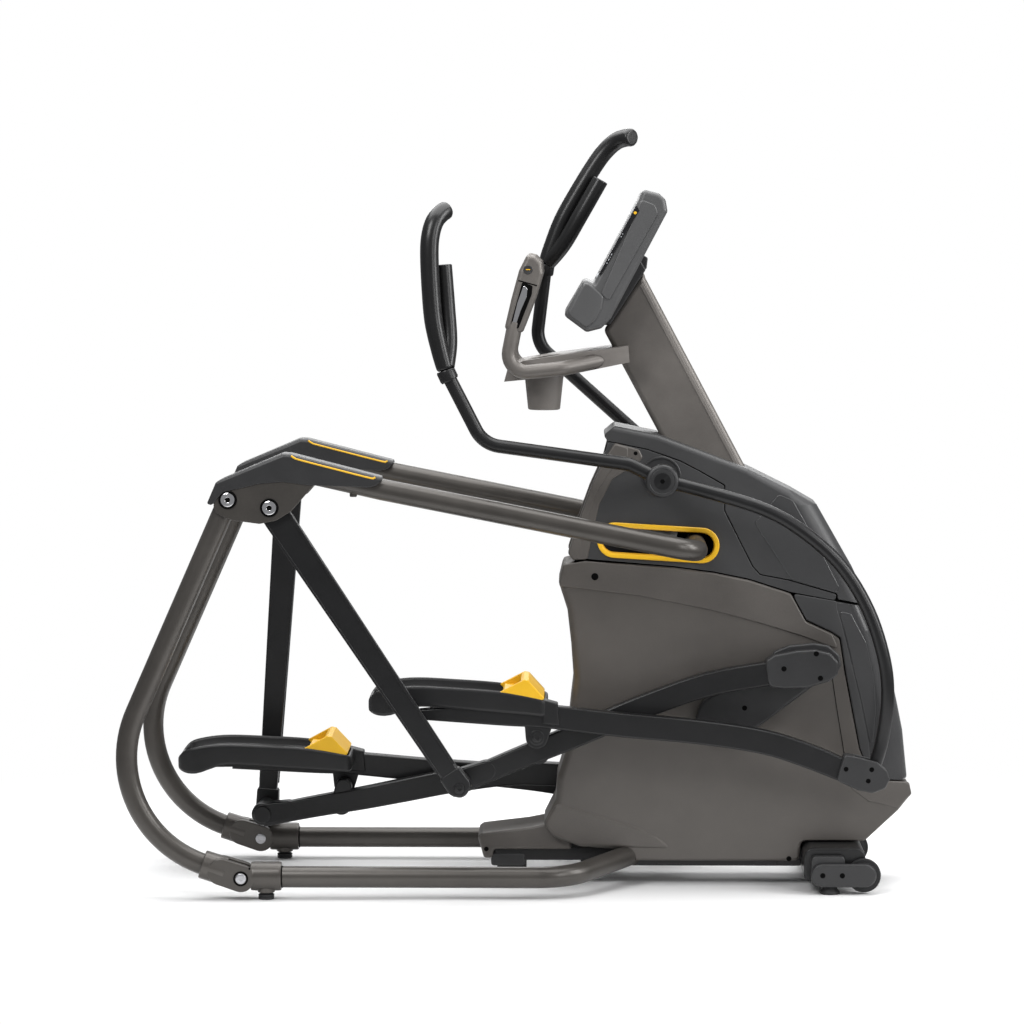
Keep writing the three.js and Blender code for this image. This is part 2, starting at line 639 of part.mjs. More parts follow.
// The space under the cap's roof, open below.
const CAP_ROOM = [[-708, 900], [-708, 935], [-692, 972], [-538, 1042.5], [-316, 986.5], [-316, 900]];
function apexCap(side) {
  const skin = plate(rounded(APEX_CAP, 6, 2), onSide(side, [272.5, 347.5]));
  const room = plate(CAP_ROOM, onSide(side, [276.1, 343.9]));
  const boltRoom = pin(UPRIGHT_TOP, HEAD_R + 2, onSide(side, [260, 360]));
  const [start, end] = UPPER_RUN.slice(0, 2);
  const barEnds = [start, sum(end, polar(30, angleTo(start, end)))];
  const barRoom = tube(barEnds.map(([x, z]) => new THREE.Vector3(x, side * FRAME_HALF, z)), TUBE_R + 1);
  return cut(skin, room, boltRoom, barRoom);
}

for (const { name, side } of BOTH) {
  addPart(`${name}_rear_upright`, rearUpright(side), BRONZE);
  addPart(`${name}_upper_tube`, upperTube(side), BRONZE);
  addPart(`${name}_apex_cap`, apexCap(side), DARK_PLASTIC);
}
function upperCarriage() {
  const body = block([ELBOW[0] - 25, ELBOW[0] + 25], across(24 - GAP), [ELBOW[1] - 25, ELBOW[1] + 25]);
  return cut(body, block([ELBOW[0] - 40, ELBOW[0] + 40], across(13), [ELBOW[1] - 16, ELBOW[1] + 14]));
}
addPart("upper_carriage", upperCarriage(), STEEL);

// ---------------------------------------------------------------- hung linkage
const HANGER_PIN_R = 15;
const BEAM_LINE = [
  [0, -8, 24], [110, 40, 25], [235, 91, 27], [333, 133, 28], [440, 178, 28], [579, 227, 28],
  [719, 253, 28], [820, 266, 28],
];
const PEDAL_ARM_LINE = [
  [-1090, 124, 20], [-900, 143, 26], [-760, 141, 27], [-588, 122, 28], [-404, 105, 28], [-248, 81, 28],
  [-131, 43, 28], [-50, 8, 26],
];
const PEDAL = [
  [-1183, 158], [-1174, 195], [-1108, 227], [-1012, 231], [-857, 219], [-802, 240], [-760, 185],
  [-760, 139], [-836, 115], [-1038, 132], [-1143, 139],
];
const PEDAL_FLOOR = [[-1130, 206], [-1010, 211], [-862, 200], [-842, 205], [-842, 300], [-1130, 300]];
const PEDAL_SPAN = [50, 248];
const EAR_SPANS = [[195.5, 203.5], [236.5, 244.5]];
const FORK_SPAN = [EAR_SPANS[0][1], EAR_SPANS[1][0]];
const FRONT_PIN_R = 9;
const GRIP_START = 257; // height of the grip's lower end above the handle's pivot
const FRONT_END_HALF = 220; // where the handle meets the pedal arm, from the middle plane

// Handle lines from the pivot, as [x, distance from the middle plane, z].
const LOWER_BAR = [
  [0, 250, 0],
  [89, 250, -22],
  [229, 250, -64],
  [323, 250, -115],
  [416, 250, -197],
  [482, 250, -303],
  [520, 250, -420],
  [529, 244, -514],
  [519, 224, -608],
  [504, 220, -665],
];
const MAIN_GRIP = [
  [-506, 250, 257.5],
  [-518, 250, 300],
  [-533, 250, 370],
  [-540, 250, 450],
  [-543, 250, 530],
  [-540, 247, 572],
  [-531, 238, 603],
  [-516, 222, 622],
  [-504, 207, 630],
];
const SIDE_GRIP = [
  [-504, 246, 264],
  [-498, 226, 322],
  [-503, 214, 400],
  [-511, 212, 503],
];

for (const { name, side, pins } of BOTH) {
  // Hanger, drawn along its own X axis from the top pin.
  const hanger = linkGroup(HANGER_TOP, pins.hanger);
  const hangerBar = plate(link([0, 0], 33, [HANGER_LENGTH, 0], 25), onSide(side, HANGER_SPAN));
  const hangerBores = [
    bore([0, 0], PIN_R, onSide(side, [280, 340])),
    bore([HANGER_LENGTH, 0], HANGER_PIN_R, onSide(side, [280, 340])),
  ];
  addPart(`${name}_hanger`, cut(hangerBar, ...hangerBores), BLACK_STEEL, hanger);
  const collars = [[BRACKET_SPANS[0][1] + GAP, HANGER_SPAN[0] - GAP], [HANGER_SPAN[1] + GAP, 337.1]];
  addPart(
    `${name}_hanger_top_pin`,
    join(boltThrough(HANGER_TOP, side), ...collars.map((c) => pin(HANGER_TOP, HEAD_R, onSide(side, c)))),
    STEEL,
  );
  addPart(
    `${name}_hanger_lower_pin`,
    join(
      pin(pins.hangerPin, HANGER_PIN_R, onSide(side, [140, 335])),
      pin(pins.hangerPin, 22, onSide(side, [BEAM_SPAN[1] + GAP, HANGER_SPAN[0] - GAP])),
      pin(pins.hangerPin, 23, onSide(side, [HANGER_SPAN[1] + GAP, 335])),
      pin(pins.hangerPin, 22, onSide(side, [140, BEAM_SPAN[0] - GAP])),
    ),
    STEEL,
  );

  // Beams, pedal arms, pedals and handles are drawn in the right side's attitude at rest.
  const beam = linkGroup(pins.hangerPin, pins.beam - rightSide.beam);
  const crankPinOnBeam = minus(rightSide.crankPin, rightSide.hangerPin);
  const pedalPinOnBeam = minus(rightSide.pedalPin, rightSide.hangerPin);
  const beamSpan = onSide(side, BEAM_SPAN);
  const beamBar = join(
    plate(band(BEAM_LINE), beamSpan),
    pin([0, 0], 27, beamSpan),
    pin(crankPinOnBeam, 38, beamSpan),
    plate(link(pedalPinOnBeam, 18, sum(pedalPinOnBeam, [0, -45])), beamSpan),
    pin(pedalPinOnBeam, 14, onSide(side, [BEAM_SPAN[0], PEDAL_ARM_SPAN[0] - 6])),
  );
  const beamBore = bore([0, 0], HANGER_PIN_R, onSide(side, [130, 200]));
  addPart(`${name}_lower_beam`, cut(beamBar, beamBore), BLACK_STEEL, beam);

  // Pedal arm, drawn from its front pin.
  const arm = linkGroup(pins.frontPin, pins.pedalArm - rightSide.pedalArm);
  const armSpan = onSide(side, PEDAL_ARM_SPAN);
  const pedalPin = minus(rightSide.pedalPin, rightSide.frontPin);
  const ears = EAR_SPANS.map((span) => plate(link([0, 0], 27, [-72, 22], 29), onSide(side, span)));
  const armBar = join(
    cut(plate(band(PEDAL_ARM_LINE), armSpan), pin([0, 0], 40, onSide(side, FORK_SPAN))),
    plate(link(pedalPin, 27, sum(pedalPin, [6, 50]), 36), armSpan),
    ...ears,
  );
  const frontBore = bore([0, 0], FRONT_PIN_R, onSide(side, [190, 250]));
  addPart(`${name}_pedal_arm`, cut(armBar, frontBore), BLACK_STEEL, arm);
  const pedalPinRoom = plate(link(pedalPin, 30, sum(pedalPin, [6, 50]), 39), onSide(side, [190, 243]));
  const armRoom = plate(band(PEDAL_ARM_LINE.map(([x, z, half]) => [x, z, half + 1])), onSide(side, [199, 241]));
  const pedal = cut(
    plate(rounded(PEDAL, 16, 3), onSide(side, PEDAL_SPAN)),
    plate(PEDAL_FLOOR, onSide(side, [PEDAL_SPAN[0] + 8, PEDAL_SPAN[1] - 8])),
    armRoom,
    pedalPinRoom,
    plate([[-1250, 0], [-700, 0], [-700, 150], [-1095, 140], [-1250, 150]], onSide(side, [192, 243])),
  );
  addPart(`${name}_pedal`, pedal, DARK_PLASTIC, arm);
  addPart(
    `${name}_front_pin`,
    join(
      pin(pins.frontPin, FRONT_PIN_R, onSide(side, FRONT_PIN_SPAN)),
      pin(pins.frontPin, FRONT_PIN_HEAD_R, onSide(side, [FRONT_PIN_SPAN[0], EAR_SPANS[0][0] - GAP])),
      pin(pins.frontPin, FRONT_PIN_HEAD_R, onSide(side, [EAR_SPANS[1][1] + GAP, FRONT_PIN_SPAN[1]])),
    ),
    STEEL,
  );

  // Crank arm, drawn along its own X axis.
  const crank = linkGroup(CRANK, pins.crank);
  const crankArm = join(
    plate(link(CRANK_HUB, CRANK_HUB_R, [CRANK_THROW, 0], CRANK_TIP_R), onSide(side, CRANK_SPAN)),
    pin([CRANK_THROW, 0], 24, onSide(side, [CRANK_SPAN[1] - 2, BEAM_SPAN[0] - 1.4])),
  );
  addPart(`${name}_crank_arm`, crankArm, BLACK_STEEL, crank);

  // Handle, drawn from its pivot.
  const handle = linkGroup(HANDLE_PIVOT, pins.handle - rightSide.handle);
  const frontPin = minus(rightSide.frontPin, HANDLE_PIVOT);
  const onHandle = ([x, z]) => [x, side * HANDLE_HALF, z];
  const outwards = ([x, y, z]) => [x, side * y, z];
  const upperBar = bent([[0, 0], [-77, 38], [-418, 85], [-500, 245]].map(onHandle), 72);
  const lowerBar = smooth([...LOWER_BAR, [frontPin[0], FRONT_END_HALF, frontPin[1]]].map(outwards), 16);
  const collar = bent([[-494, 232], [-506, 257]].map(onHandle), 1);
  const handleArm = join(
    tube(upperBar, BAR_R),
    tube(lowerBar, BAR_R - 0.5),
    tube(collar, GRIP_R + 1.5),
    pin([0, 0], 38, onSide(side, [226, 274])),
    pin(frontPin, 26, onSide(side, [FORK_SPAN[0] + 1, FORK_SPAN[1] - 1])),
  );
  const handleBores = [
    pin([0, 0], 13, onSide(side, [200, 300])),
    bore(frontPin, FRONT_PIN_R, onSide(side, [190, 250])),
    block([-560, -480], [side * 200, side * 300], [GRIP_START, GRIP_START + 40]),
  ];
  addPart(`${name}_handle_arm`, cut(handleArm, ...handleBores), BLACK_STEEL, handle);
  const mainGrip = smooth(MAIN_GRIP.map(outwards), 12);
  const sideGrip = smooth(SIDE_GRIP.map(outwards), 4);
  const grip = cut(
    join(tube(mainGrip, GRIP_R), tube(sideGrip, GRIP_R - 1)),
    block([-580, -440], [side * 180, side * 300], [200, GRIP_START + GAP]),
  );
  addPart(`${name}_handle_grip`, grip, RUBBER, handle);
  addPart(
    `${name}_handle_hub`,
    join(
      pin(HANDLE_PIVOT, 22, onSide(side, [62.6, 225.4])),
      pin(HANDLE_PIVOT, 12, onSide(side, [220, 276])),
      pin(HANDLE_PIVOT, 33, onSide(side, [274.6, 281])),
    ),
    STEEL,
  );
}

export default trainer;
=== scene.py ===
"""Looks for the elliptical trainer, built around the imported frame. Outlines are [x, z] in millimetres."""
import math

import bmesh
import bpy
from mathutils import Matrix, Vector


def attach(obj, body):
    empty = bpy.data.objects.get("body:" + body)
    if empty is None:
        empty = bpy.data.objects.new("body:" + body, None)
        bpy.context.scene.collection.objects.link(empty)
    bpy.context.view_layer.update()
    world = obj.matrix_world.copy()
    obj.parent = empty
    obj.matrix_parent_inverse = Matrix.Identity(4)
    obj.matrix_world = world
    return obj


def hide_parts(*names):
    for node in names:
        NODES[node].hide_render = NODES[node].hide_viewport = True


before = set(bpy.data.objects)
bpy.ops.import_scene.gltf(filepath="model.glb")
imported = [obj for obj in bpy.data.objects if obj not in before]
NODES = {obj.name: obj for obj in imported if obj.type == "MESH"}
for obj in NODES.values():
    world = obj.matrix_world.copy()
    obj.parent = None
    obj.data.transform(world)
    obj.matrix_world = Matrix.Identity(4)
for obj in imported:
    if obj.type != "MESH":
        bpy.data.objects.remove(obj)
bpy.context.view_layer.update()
MM = 0.001
SIDES = (("right", -1), ("left", 1))
COVER_HALF = 108.0
FACET_BACK = 100

# ---------------------------------------------------------------- linkage, as in the CAD
CRANK = (486.7, 378.1)
CRANK_THROW = 277.6
CRANK_ANGLE = math.radians(34.585)
PIVOT = (339.4, 977.7)
HANDLE_REACH = 854.4
ARM_LENGTH = 790.0
HANGER_TOP = (-572.0, 919.7)
HANGER_LENGTH = 790.1
BEAM_LENGTH = 890.9
PEDAL_PIN_ON_BEAM = (204.0, 48.0)
HINGE = (-642.5, 52.3)
UPRIGHT_TOP = (-668.4, 938.2)
ELBOW = (421.0, 815.0)


def plus(a, b):
    return (a[0] + b[0], a[1] + b[1])


def less(a, b):
    return (a[0] - b[0], a[1] - b[1])


def polar(r, angle):
    return (r * math.cos(angle), r * math.sin(angle))


def turned(p, angle):
    c, s = math.cos(angle), math.sin(angle)
    return (p[0] * c - p[1] * s, p[0] * s + p[1] * c)


def heading(a, b):
    return math.atan2(b[1] - a[1], b[0] - a[0])


def meet(a, ra, b, rb, side):
    span = math.dist(a, b)
    along = (ra * ra - rb * rb + span * span) / (2 * span)
    off = math.sqrt(ra * ra - along * along)
    return plus(a, turned((along, side * off), heading(a, b)))


def linkage(angle):
    crank_pin = plus(CRANK, polar(CRANK_THROW, angle))
    low = meet(HANGER_TOP, HANGER_LENGTH, crank_pin, BEAM_LENGTH, -1)
    beam = heading(low, crank_pin)
    pedal = plus(low, turned(PEDAL_PIN_ON_BEAM, beam))
    front = meet(PIVOT, HANDLE_REACH, pedal, ARM_LENGTH, 1)
    return {
        "crank": (CRANK, angle),
        "hanger": (HANGER_TOP, heading(HANGER_TOP, low)),
        "beam": (low, beam),
        "arm": (front, heading(pedal, front)),
        "handle": (PIVOT, heading(PIVOT, front)),
        "pedal_pin": pedal,
        "crank_pin": crank_pin,
    }


LINKS = {"right": linkage(CRANK_ANGLE), "left": linkage(CRANK_ANGLE + math.pi)}


def carried(side, link):
    """Carries a point from the right side's place to the given side's place of the same link."""
    start, angle = LINKS["right"][link]
    end, new_angle = LINKS[side][link]
    return lambda p: plus(end, turned(less(p, start), new_angle - angle))


# ---------------------------------------------------------------- outlines and paths
def area(points):
    return sum(p[0] * q[1] - q[0] * p[1] for p, q in zip(points, points[1:] + points[:1])) / 2


def inset(points, distances):
    """The outline moved inwards, by one distance or one for each edge (edge i runs from point i)."""
    count = len(points)
    if not hasattr(distances, "__len__"):
        distances = [distances] * count
    out = []
    for i, p in enumerate(points):
        before = heading(points[i - 1], p) + math.pi / 2
        after = heading(p, points[(i + 1) % count]) + math.pi / 2
        d0, d1 = distances[i - 1], distances[i]
        cross = math.sin(after - before)
        if abs(cross) > 0.25:
            n0, n1 = polar(1, before), polar(1, after)
            out.append(plus(p, ((d0 * n1[1] - d1 * n0[1]) / cross, (d1 * n0[0] - d0 * n1[0]) / cross)))
        else:
            half = math.remainder(after - before, 2 * math.pi) / 2
            out.append(plus(p, polar((d0 + d1) / 2 / max(math.cos(half), 0.35), before + half)))
    return out


class Rounded(list):
    """A polygon with round corners, which keeps its own corners so that it can be drawn in cleanly."""

    def __init__(self, corners, radius, steps=5):
        corners = [tuple(map(float, p)) for p in corners]
        radii = list(radius) if hasattr(radius, "__len__") else [radius] * len(corners)
        if area(corners) < 0:
            corners, radii = corners[::-1], radii[::-1]
        self.corners, self.radii, self.steps = corners, radii, steps
        super().__init__(self.arcs(corners, radii))

    def arcs(self, corners, radii):
        out = []
        count = len(corners)
        for i, p in enumerate(corners):
            a, b = less(corners[i - 1], p), less(corners[(i + 1) % count], p)
            turn = abs(math.remainder(math.atan2(b[1], b[0]) - math.atan2(a[1], a[0]), 2 * math.pi))
            reach = radii[i] / max(math.tan(turn / 2), 0.15)
            reach = min(reach, math.hypot(*a) / 2.05, math.hypot(*b) / 2.05)
            start = plus(p, polar(reach, math.atan2(a[1], a[0])))
            end = plus(p, polar(reach, math.atan2(b[1], b[0])))
            for k in range(self.steps + 1):
                t = k / self.steps if self.steps else 0
                out.append(tuple(
                    (1 - t) ** 2 * u + 2 * t * (1 - t) * v + t * t * w for u, v, w in zip(start, p, end)
                ))
        return out

    def drawn_in(self, distances):
        """The outline moved inwards by one distance for each of its corners' edges."""
        moved = inset(self.corners, distances)
        if not self.steps:
            return moved
        count = len(moved)
        radii = []
        for i, r in enumerate(self.radii):
            p, q, n = self.corners[i], self.corners[i - 1], self.corners[(i + 1) % count]
            convex = math.sin(heading(p, n) - heading(q, p)) > 0
            d = (distances[i - 1] + distances[i]) / 2
            radii.append(max(r - d, 0.3) if convex else r + d)
        return self.arcs(moved, radii)


def stadium(a, ra, b, rb=None, steps=14):
    rb = ra if rb is None else rb
    along = heading(a, b)
    lean = math.acos((ra - rb) / math.dist(a, b))
    out = [plus(b, polar(rb, along - lean + 2 * lean * i / steps)) for i in range(steps + 1)]
    return out + [
        plus(a, polar(ra, along + lean + (2 * math.pi - 2 * lean) * i / steps)) for i in range(steps + 1)
    ]


def disc(centre, r, sides=28):
    return [plus(centre, polar(r, 2 * math.pi * i / sides)) for i in range(sides)]


def smooth(points, per_span=6, closed=False):
    """A smooth curve through the points, of any dimension."""
    count = len(points)
    out = []
    spans = count if closed else count - 1
    for i in range(spans):
        if closed:
            p = [points[(i + k) % count] for k in (-1, 0, 1, 2)]
        else:
            p = [points[max(i - 1, 0)], points[i], points[i + 1], points[min(i + 2, count - 1)]]
        for k in range(per_span):
            t = k / per_span
            out.append(
                tuple(
                    0.5 * (2 * b + (c - a) * t + (2 * a - 5 * b + 4 * c - d) * t * t
                           + (3 * b - a - 3 * c + d) * t ** 3)
                    for a, b, c, d in zip(*p)
                )
            )
    return out if closed else out + [tuple(points[-1])]


def band(line):
    """The outline of a bar about a centre line of [x, z, half width] points."""
    upper, lower = [], []
    for i, p in enumerate(line):
        normal = polar(p[2], heading(line[max(i - 1, 0)], line[min(i + 1, len(line) - 1)]) + math.pi / 2)
        upper.append(plus(p, normal))
        lower.append(less(p, normal))
    return lower + upper[::-1]


def bent(corners, radius, steps=12):
    """A path of straight runs joined by bends."""
    at = [Vector(c) for c in corners]
    out = [at[0]]
    for i in range(1, len(at) - 1):
        back, on = (at[i - 1] - at[i]).normalized(), (at[i + 1] - at[i]).normalized()
        half = back.angle(on) / 2
        reach = radius / math.tan(half)
        centre = at[i] + (back + on).normalized() * (radius / math.sin(half))
        start, end = at[i] + back * reach - centre, at[i] + on * reach - centre
        for k in range(steps + 1):
            out.append(centre + start.slerp(end, k / steps) * radius)
    return out + [at[-1]]


# ---------------------------------------------------------------- meshes
class Shape:
    """Vertices in millimetres and faces, gathered before they become one object."""

    def __init__(self):
        self.verts, self.faces = [], []

    def add(self, verts, faces):
        base = len(self.verts)
        self.verts += [tuple(v) for v in verts]
        self.faces += [[base + i for i in f] for f in faces]
        return self

    def slab(self, points, near, far, edge=3.0, steps=3, both=True):
        """An outline made solid between two Y values, with round edges.

        edge is a number, or a function of the middle of each side.
        Unless both, only the far face is rounded."""
        room = abs(far - near) / (2.05 if both else 1.02)
        if not isinstance(points, Rounded):
            points = [tuple(p[:2]) for p in points]
            points = points[::-1] if area(points) < 0 else points
            points = Rounded([p for i, p in enumerate(points) if math.dist(p, points[i - 1]) > 0.05], 0, 0)
        corners = points.corners
        count = len(corners)
        middles = [
            tuple((u + v) / 2 for u, v in zip(p, corners[(i + 1) % count])) for i, p in enumerate(corners)
        ]
        edges = [min(edge(*m) if callable(edge) else edge, room) for m in middles]
        per_corner = len(points) // count
        depths = [max(edges[i - 1], edges[i]) for i in range(count) for _ in range(per_corner)]
        turns = [math.pi / 2 * k / steps for k in range(steps + 1)]
        inward = 1 if far > near else -1
        full = [(x, near, z) for x, z in points]

        def rings(face, way):
            """From the cap's ring to the full outline."""
            out = []
            for t in turns:
                ring = points.drawn_in([e * (1 - math.sin(t)) for e in edges])
                out.append([(x, face + way * d * (1 - math.cos(t)), z) for (x, z), d in zip(ring, depths)])
            return out

        start = rings(near, inward) if both else [full]
        return self.loft(start + rings(far, -inward)[::-1])

    def loft(self, rings, caps=True):
        """Skins closed rings of equal count, one after another."""
        count = len(rings[0])
        verts = [v for r in rings for v in r]
        faces = [
            [
                r * count + i, r * count + (i + 1) % count, (r + 1) * count + (i + 1) % count,
                (r + 1) * count + i
            ]
            for r in range(len(rings) - 1)
            for i in range(count)
        ]
        if caps:
            faces.append(list(range(count))[::-1])
            faces.append([(len(rings) - 1) * count + i for i in range(count)])
        return self.add(verts, faces)

    def tube(self, path, radius, sides=24, dome=0.0):
        """A round bar along a path; radius is one number or one for each place. dome rounds both ends."""
        path = [Vector(p) for p in path]
        radii = list(radius) if hasattr(radius, "__len__") else [radius] * len(path)
        if dome:
            path, radii = domed(path, radii, dome)
        tangents = []
        for i in range(len(path)):
            a, b = path[max(i - 1, 0)], path[min(i + 1, len(path) - 1)]
            into = (path[i] - a).normalized() if i else Vector()
            out = (b - path[i]).normalized() if i < len(path) - 1 else Vector()
            tangents.append((into + out).normalized())
        side = tangents[0].orthogonal().normalized()
        rings = []
        for i, (p, t) in enumerate(zip(path, tangents)):
            side = (side - t * side.dot(t)).normalized()
            up = t.cross(side)
            stretch = 1.0
            if 0 < i < len(path) - 1:
                stretch = 1 / max(math.cos((path[i] - path[i - 1]).angle(path[i + 1] - path[i]) / 2), 0.5)
            ring = []
            for k in range(sides):
                a = 2 * math.pi * k / sides
                ring.append(p + (side * math.cos(a) + up * math.sin(a)) * radii[i] * (stretch ** 0.5))
            rings.append(ring)
        return self.loft(rings)

    def lathe(self, profile, centre, axis="y", sign=1, sides=32):
        """A profile of [radius, height] turned about an axis through centre; radius 0 closes it."""
        rings = []
        for r, h in profile:
            ring = []
            for k in range(sides):
                a = 2 * math.pi * k / sides
                u, v = max(r, 0.02) * math.cos(a), max(r, 0.02) * math.sin(a)
                if axis == "y":
                    ring.append((centre[0] + u, sign * h, centre[1] + v))
                elif axis == "z":
                    ring.append((centre[0] + u, centre[1] + v, h))
                else:
                    ring.append((h, centre[0] + u, centre[1] + v))
            rings.append(ring)
        return self.loft(rings)


def domed(path, radii, dome):
    """Adds a quarter-round of the given depth to both ends of a path."""
    extra = 4
    first, last = (path[1] - path[0]).normalized(), (path[-1] - path[-2]).normalized()
    turns = [math.pi / 2 * k / extra for k in range(1, extra + 1)]
    head = [(path[0] + first * dome * (1 - math.cos(t)), radii[0] - dome * (1 - math.sin(t))) for t in turns]
    tail = [(
        path[-1] - last * dome * (1 - math.cos(t)), radii[-1] - dome * (1 - math.sin(t))
    ) for t in turns[::-1]]
    inner = [
        (p, r) for p, r in zip(path[1:-1], radii[1:-1])
        if (p - path[0]).length > dome * 1.2 and (p - path[-1]).length > dome * 1.2
    ]
    start = [(path[0], radii[0] - dome)]
    end = [(path[-1], radii[-1] - dome)]
    whole = start + head + inner + tail + end
    return [p for p, _ in whole], [r for _, r in whole]


def placed(name, mesh, body, look, replaced):
    """One object of one material that rides on a body and stands for the replaced nodes."""
    mesh.materials.clear()
    mesh.materials.append(look)
    made = bpy.data.objects.new(name, mesh)
    bpy.context.scene.collection.objects.link(made)
    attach(made, body)
    if replaced:
        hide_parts(*replaced)
    return made


def piece(name, shape, body, look, *replaced, slot=None, sharp=38, weighted=True):
    """Makes the shape one object of the given material; slot is not used."""
    mesh = bpy.data.meshes.new(name)
    mesh.from_pydata([tuple(c * MM for c in v) for v in shape.verts], [], shape.faces)
    work = bmesh.new()
    work.from_mesh(mesh)
    bmesh.ops.remove_doubles(work, verts=work.verts, dist=1e-6)
    bmesh.ops.recalc_face_normals(work, faces=work.faces)
    work.to_mesh(mesh)
    work.free()
    mesh.shade_smooth()
    mesh.set_sharp_from_angle(angle=math.radians(sharp))
    made = placed(name, mesh, body, look, replaced)
    if weighted:
        normals = made.modifiers.new("normals", "WEIGHTED_NORMAL")
        normals.keep_sharp = True
        normals.weight = 60
    return made


def dressed(node, name, body, look, edge, segments=2):
    """A copy of a CAD node with its edges rounded, which stands for the node."""
    mesh = NODES[node].data.copy()
    mesh.name = name
    work = bmesh.new()
    work.from_mesh(mesh)
    bmesh.ops.remove_doubles(work, verts=work.verts, dist=1e-6)
    bmesh.ops.dissolve_limit(work, angle_limit=math.radians(2), verts=work.verts, edges=work.edges)
    work.to_mesh(mesh)
    work.free()
    mesh.shade_smooth()
    made = placed(name, mesh, body, look, [node])
    bevel = made.modifiers.new("edges", "BEVEL")
    bevel.width = edge * MM
    bevel.segments = segments
    bevel.limit_method = "ANGLE"
    bevel.angle_limit = math.radians(32)
    bevel.harden_normals = True
    return made


def wired(tree, *links):
    """Joins sockets, each link given as node, output, node, input."""
    for start, output, end, socket in links:
        tree.links.new(start.outputs[output], end.inputs[socket])


def material(
    name, colour, roughness, metallic=0.0, coat=0.0, mottle=0.08, grain=0.25, grain_size=0.9,
    edge_highlight=0.0, brushed=False, coat_roughness=0.15, specular=0.5,
):
    """A moulded, painted or metal surface: mottled, with grain, uneven gloss and convex edges lightened as a
    painted highlight.
    """
    made = bpy.data.materials.new(name)
    made.use_nodes = True
    tree = made.node_tree

    def fill(n, **values):
        for key, value in values.items():
            n.inputs[key.replace("_", " ")].default_value = value
        return n

    def node(kind, **values):
        return fill(tree.nodes.new("ShaderNode" + kind), **values)

    def mixed(factor, blend="MIX"):
        n = node("Mix")
        n.data_type, n.blend_type = "RGBA", blend
        n.inputs["Factor"].default_value = factor
        return n

    def shade(scale, lift=0.0):
        return (*[min(c * scale + lift, 1) for c in colour], 1)

    shader = fill(
        tree.nodes["Principled BSDF"], Metallic=metallic, Specular_IOR_Level=specular, Coat_Weight=coat,
        Coat_Roughness=coat_roughness,
    )
    source = node("TexCoord"), "Object"
    if brushed:
        stretch = node("Mapping", Scale=(0.06, 1.0, 1.0))
        wired(tree, (*source, stretch, "Vector"))
        source = stretch, "Vector"
    cloud = node("TexNoise", Scale=14.0, Detail=4.0, Roughness=0.6)
    fine = node("TexNoise", Scale=1000.0 / grain_size, Detail=3.0, Roughness=0.6)
    tones = node("ValToRGB")
    for stop, place, scale in zip(tones.color_ramp.elements, (0.32, 0.68), (1 - mottle, 1 + mottle)):
        stop.position, stop.color = place, shade(scale)
    speckle = mixed(0.25 + 0.3 * metallic, "OVERLAY")
    last = speckle
    # Painted highlight: convex edges, found by pointiness, are mixed towards a lighter tone.
    if edge_highlight:
        edge_light = node("MapRange", From_Min=0.52, From_Max=0.60, To_Max=edge_highlight)
        last = mixed(0.5)
        last.inputs["B"].default_value = shade(2.2, 0.04)
        wired(
            tree, (node("NewGeometry"), "Pointiness", edge_light, "Value"), (edge_light, "Result", last, "Factor"),
            (speckle, "Result", last, "A"),
        )
    gloss = node("MapRange", To_Min=max(roughness - 0.06, 0.02), To_Max=roughness + 0.08)
    bump = node("Bump", Strength=grain, Distance=0.0004)
    wired(
        tree, (*source, cloud, "Vector"), (*source, fine, "Vector"), (cloud, "Fac", tones, "Fac"),
        (tones, "Color", speckle, "A"), (fine, "Fac", speckle, "B"), (last, "Result", shader, "Base Color"),
        (cloud, "Fac", gloss, "Value"), (gloss, "Result", shader, "Roughness"), (fine, "Fac", bump, "Height"),
        (bump, "Normal", shader, "Normal"),
    )
    return made


# The amounts of edge lightening given below are painted highlight on convex edges.
BRONZE = material(
    "bronze_paint", (0.066, 0.060, 0.054), 0.36, metallic=0.45, coat=0.15, grain=0.12,
    edge_highlight=0.25
)
MAST_PAINT = material(
    "mast_paint", (0.150, 0.138, 0.127), 0.38, metallic=0.3, grain=0.15, edge_highlight=0.2
)
TRAY = material("tray_moulding", (0.175, 0.161, 0.149), 0.40, mottle=0.05, grain=0.18)
BRONZE_COVER = material(
    "bronze_cover", (0.103, 0.094, 0.086), 0.42, metallic=0.2, mottle=0.05, grain=0.18
)
BLACK = material(
    "black_powder_coat", (0.0095, 0.0095, 0.0100), 0.33, coat=0.05, specular=0.35, grain=0.3,
    grain_size=1.4, edge_highlight=0.1
)
DARK = material("dark_moulding", (0.0225, 0.0225, 0.0235), 0.42, grain=0.35, edge_highlight=0.1)
COVER = material("dark_cover", (0.040, 0.040, 0.041), 0.42, mottle=0.05, grain=0.25)
GLOSS = material("gloss_grey", (0.044, 0.044, 0.045), 0.16, coat=0.5, mottle=0.04, grain=0.05)
GREY = material("grey_moulding", (0.080, 0.080, 0.081), 0.38, mottle=0.05, grain=0.22)
YELLOW = material("yellow_moulding", (0.830, 0.470, 0.012), 0.40, mottle=0.04, grain=0.15)
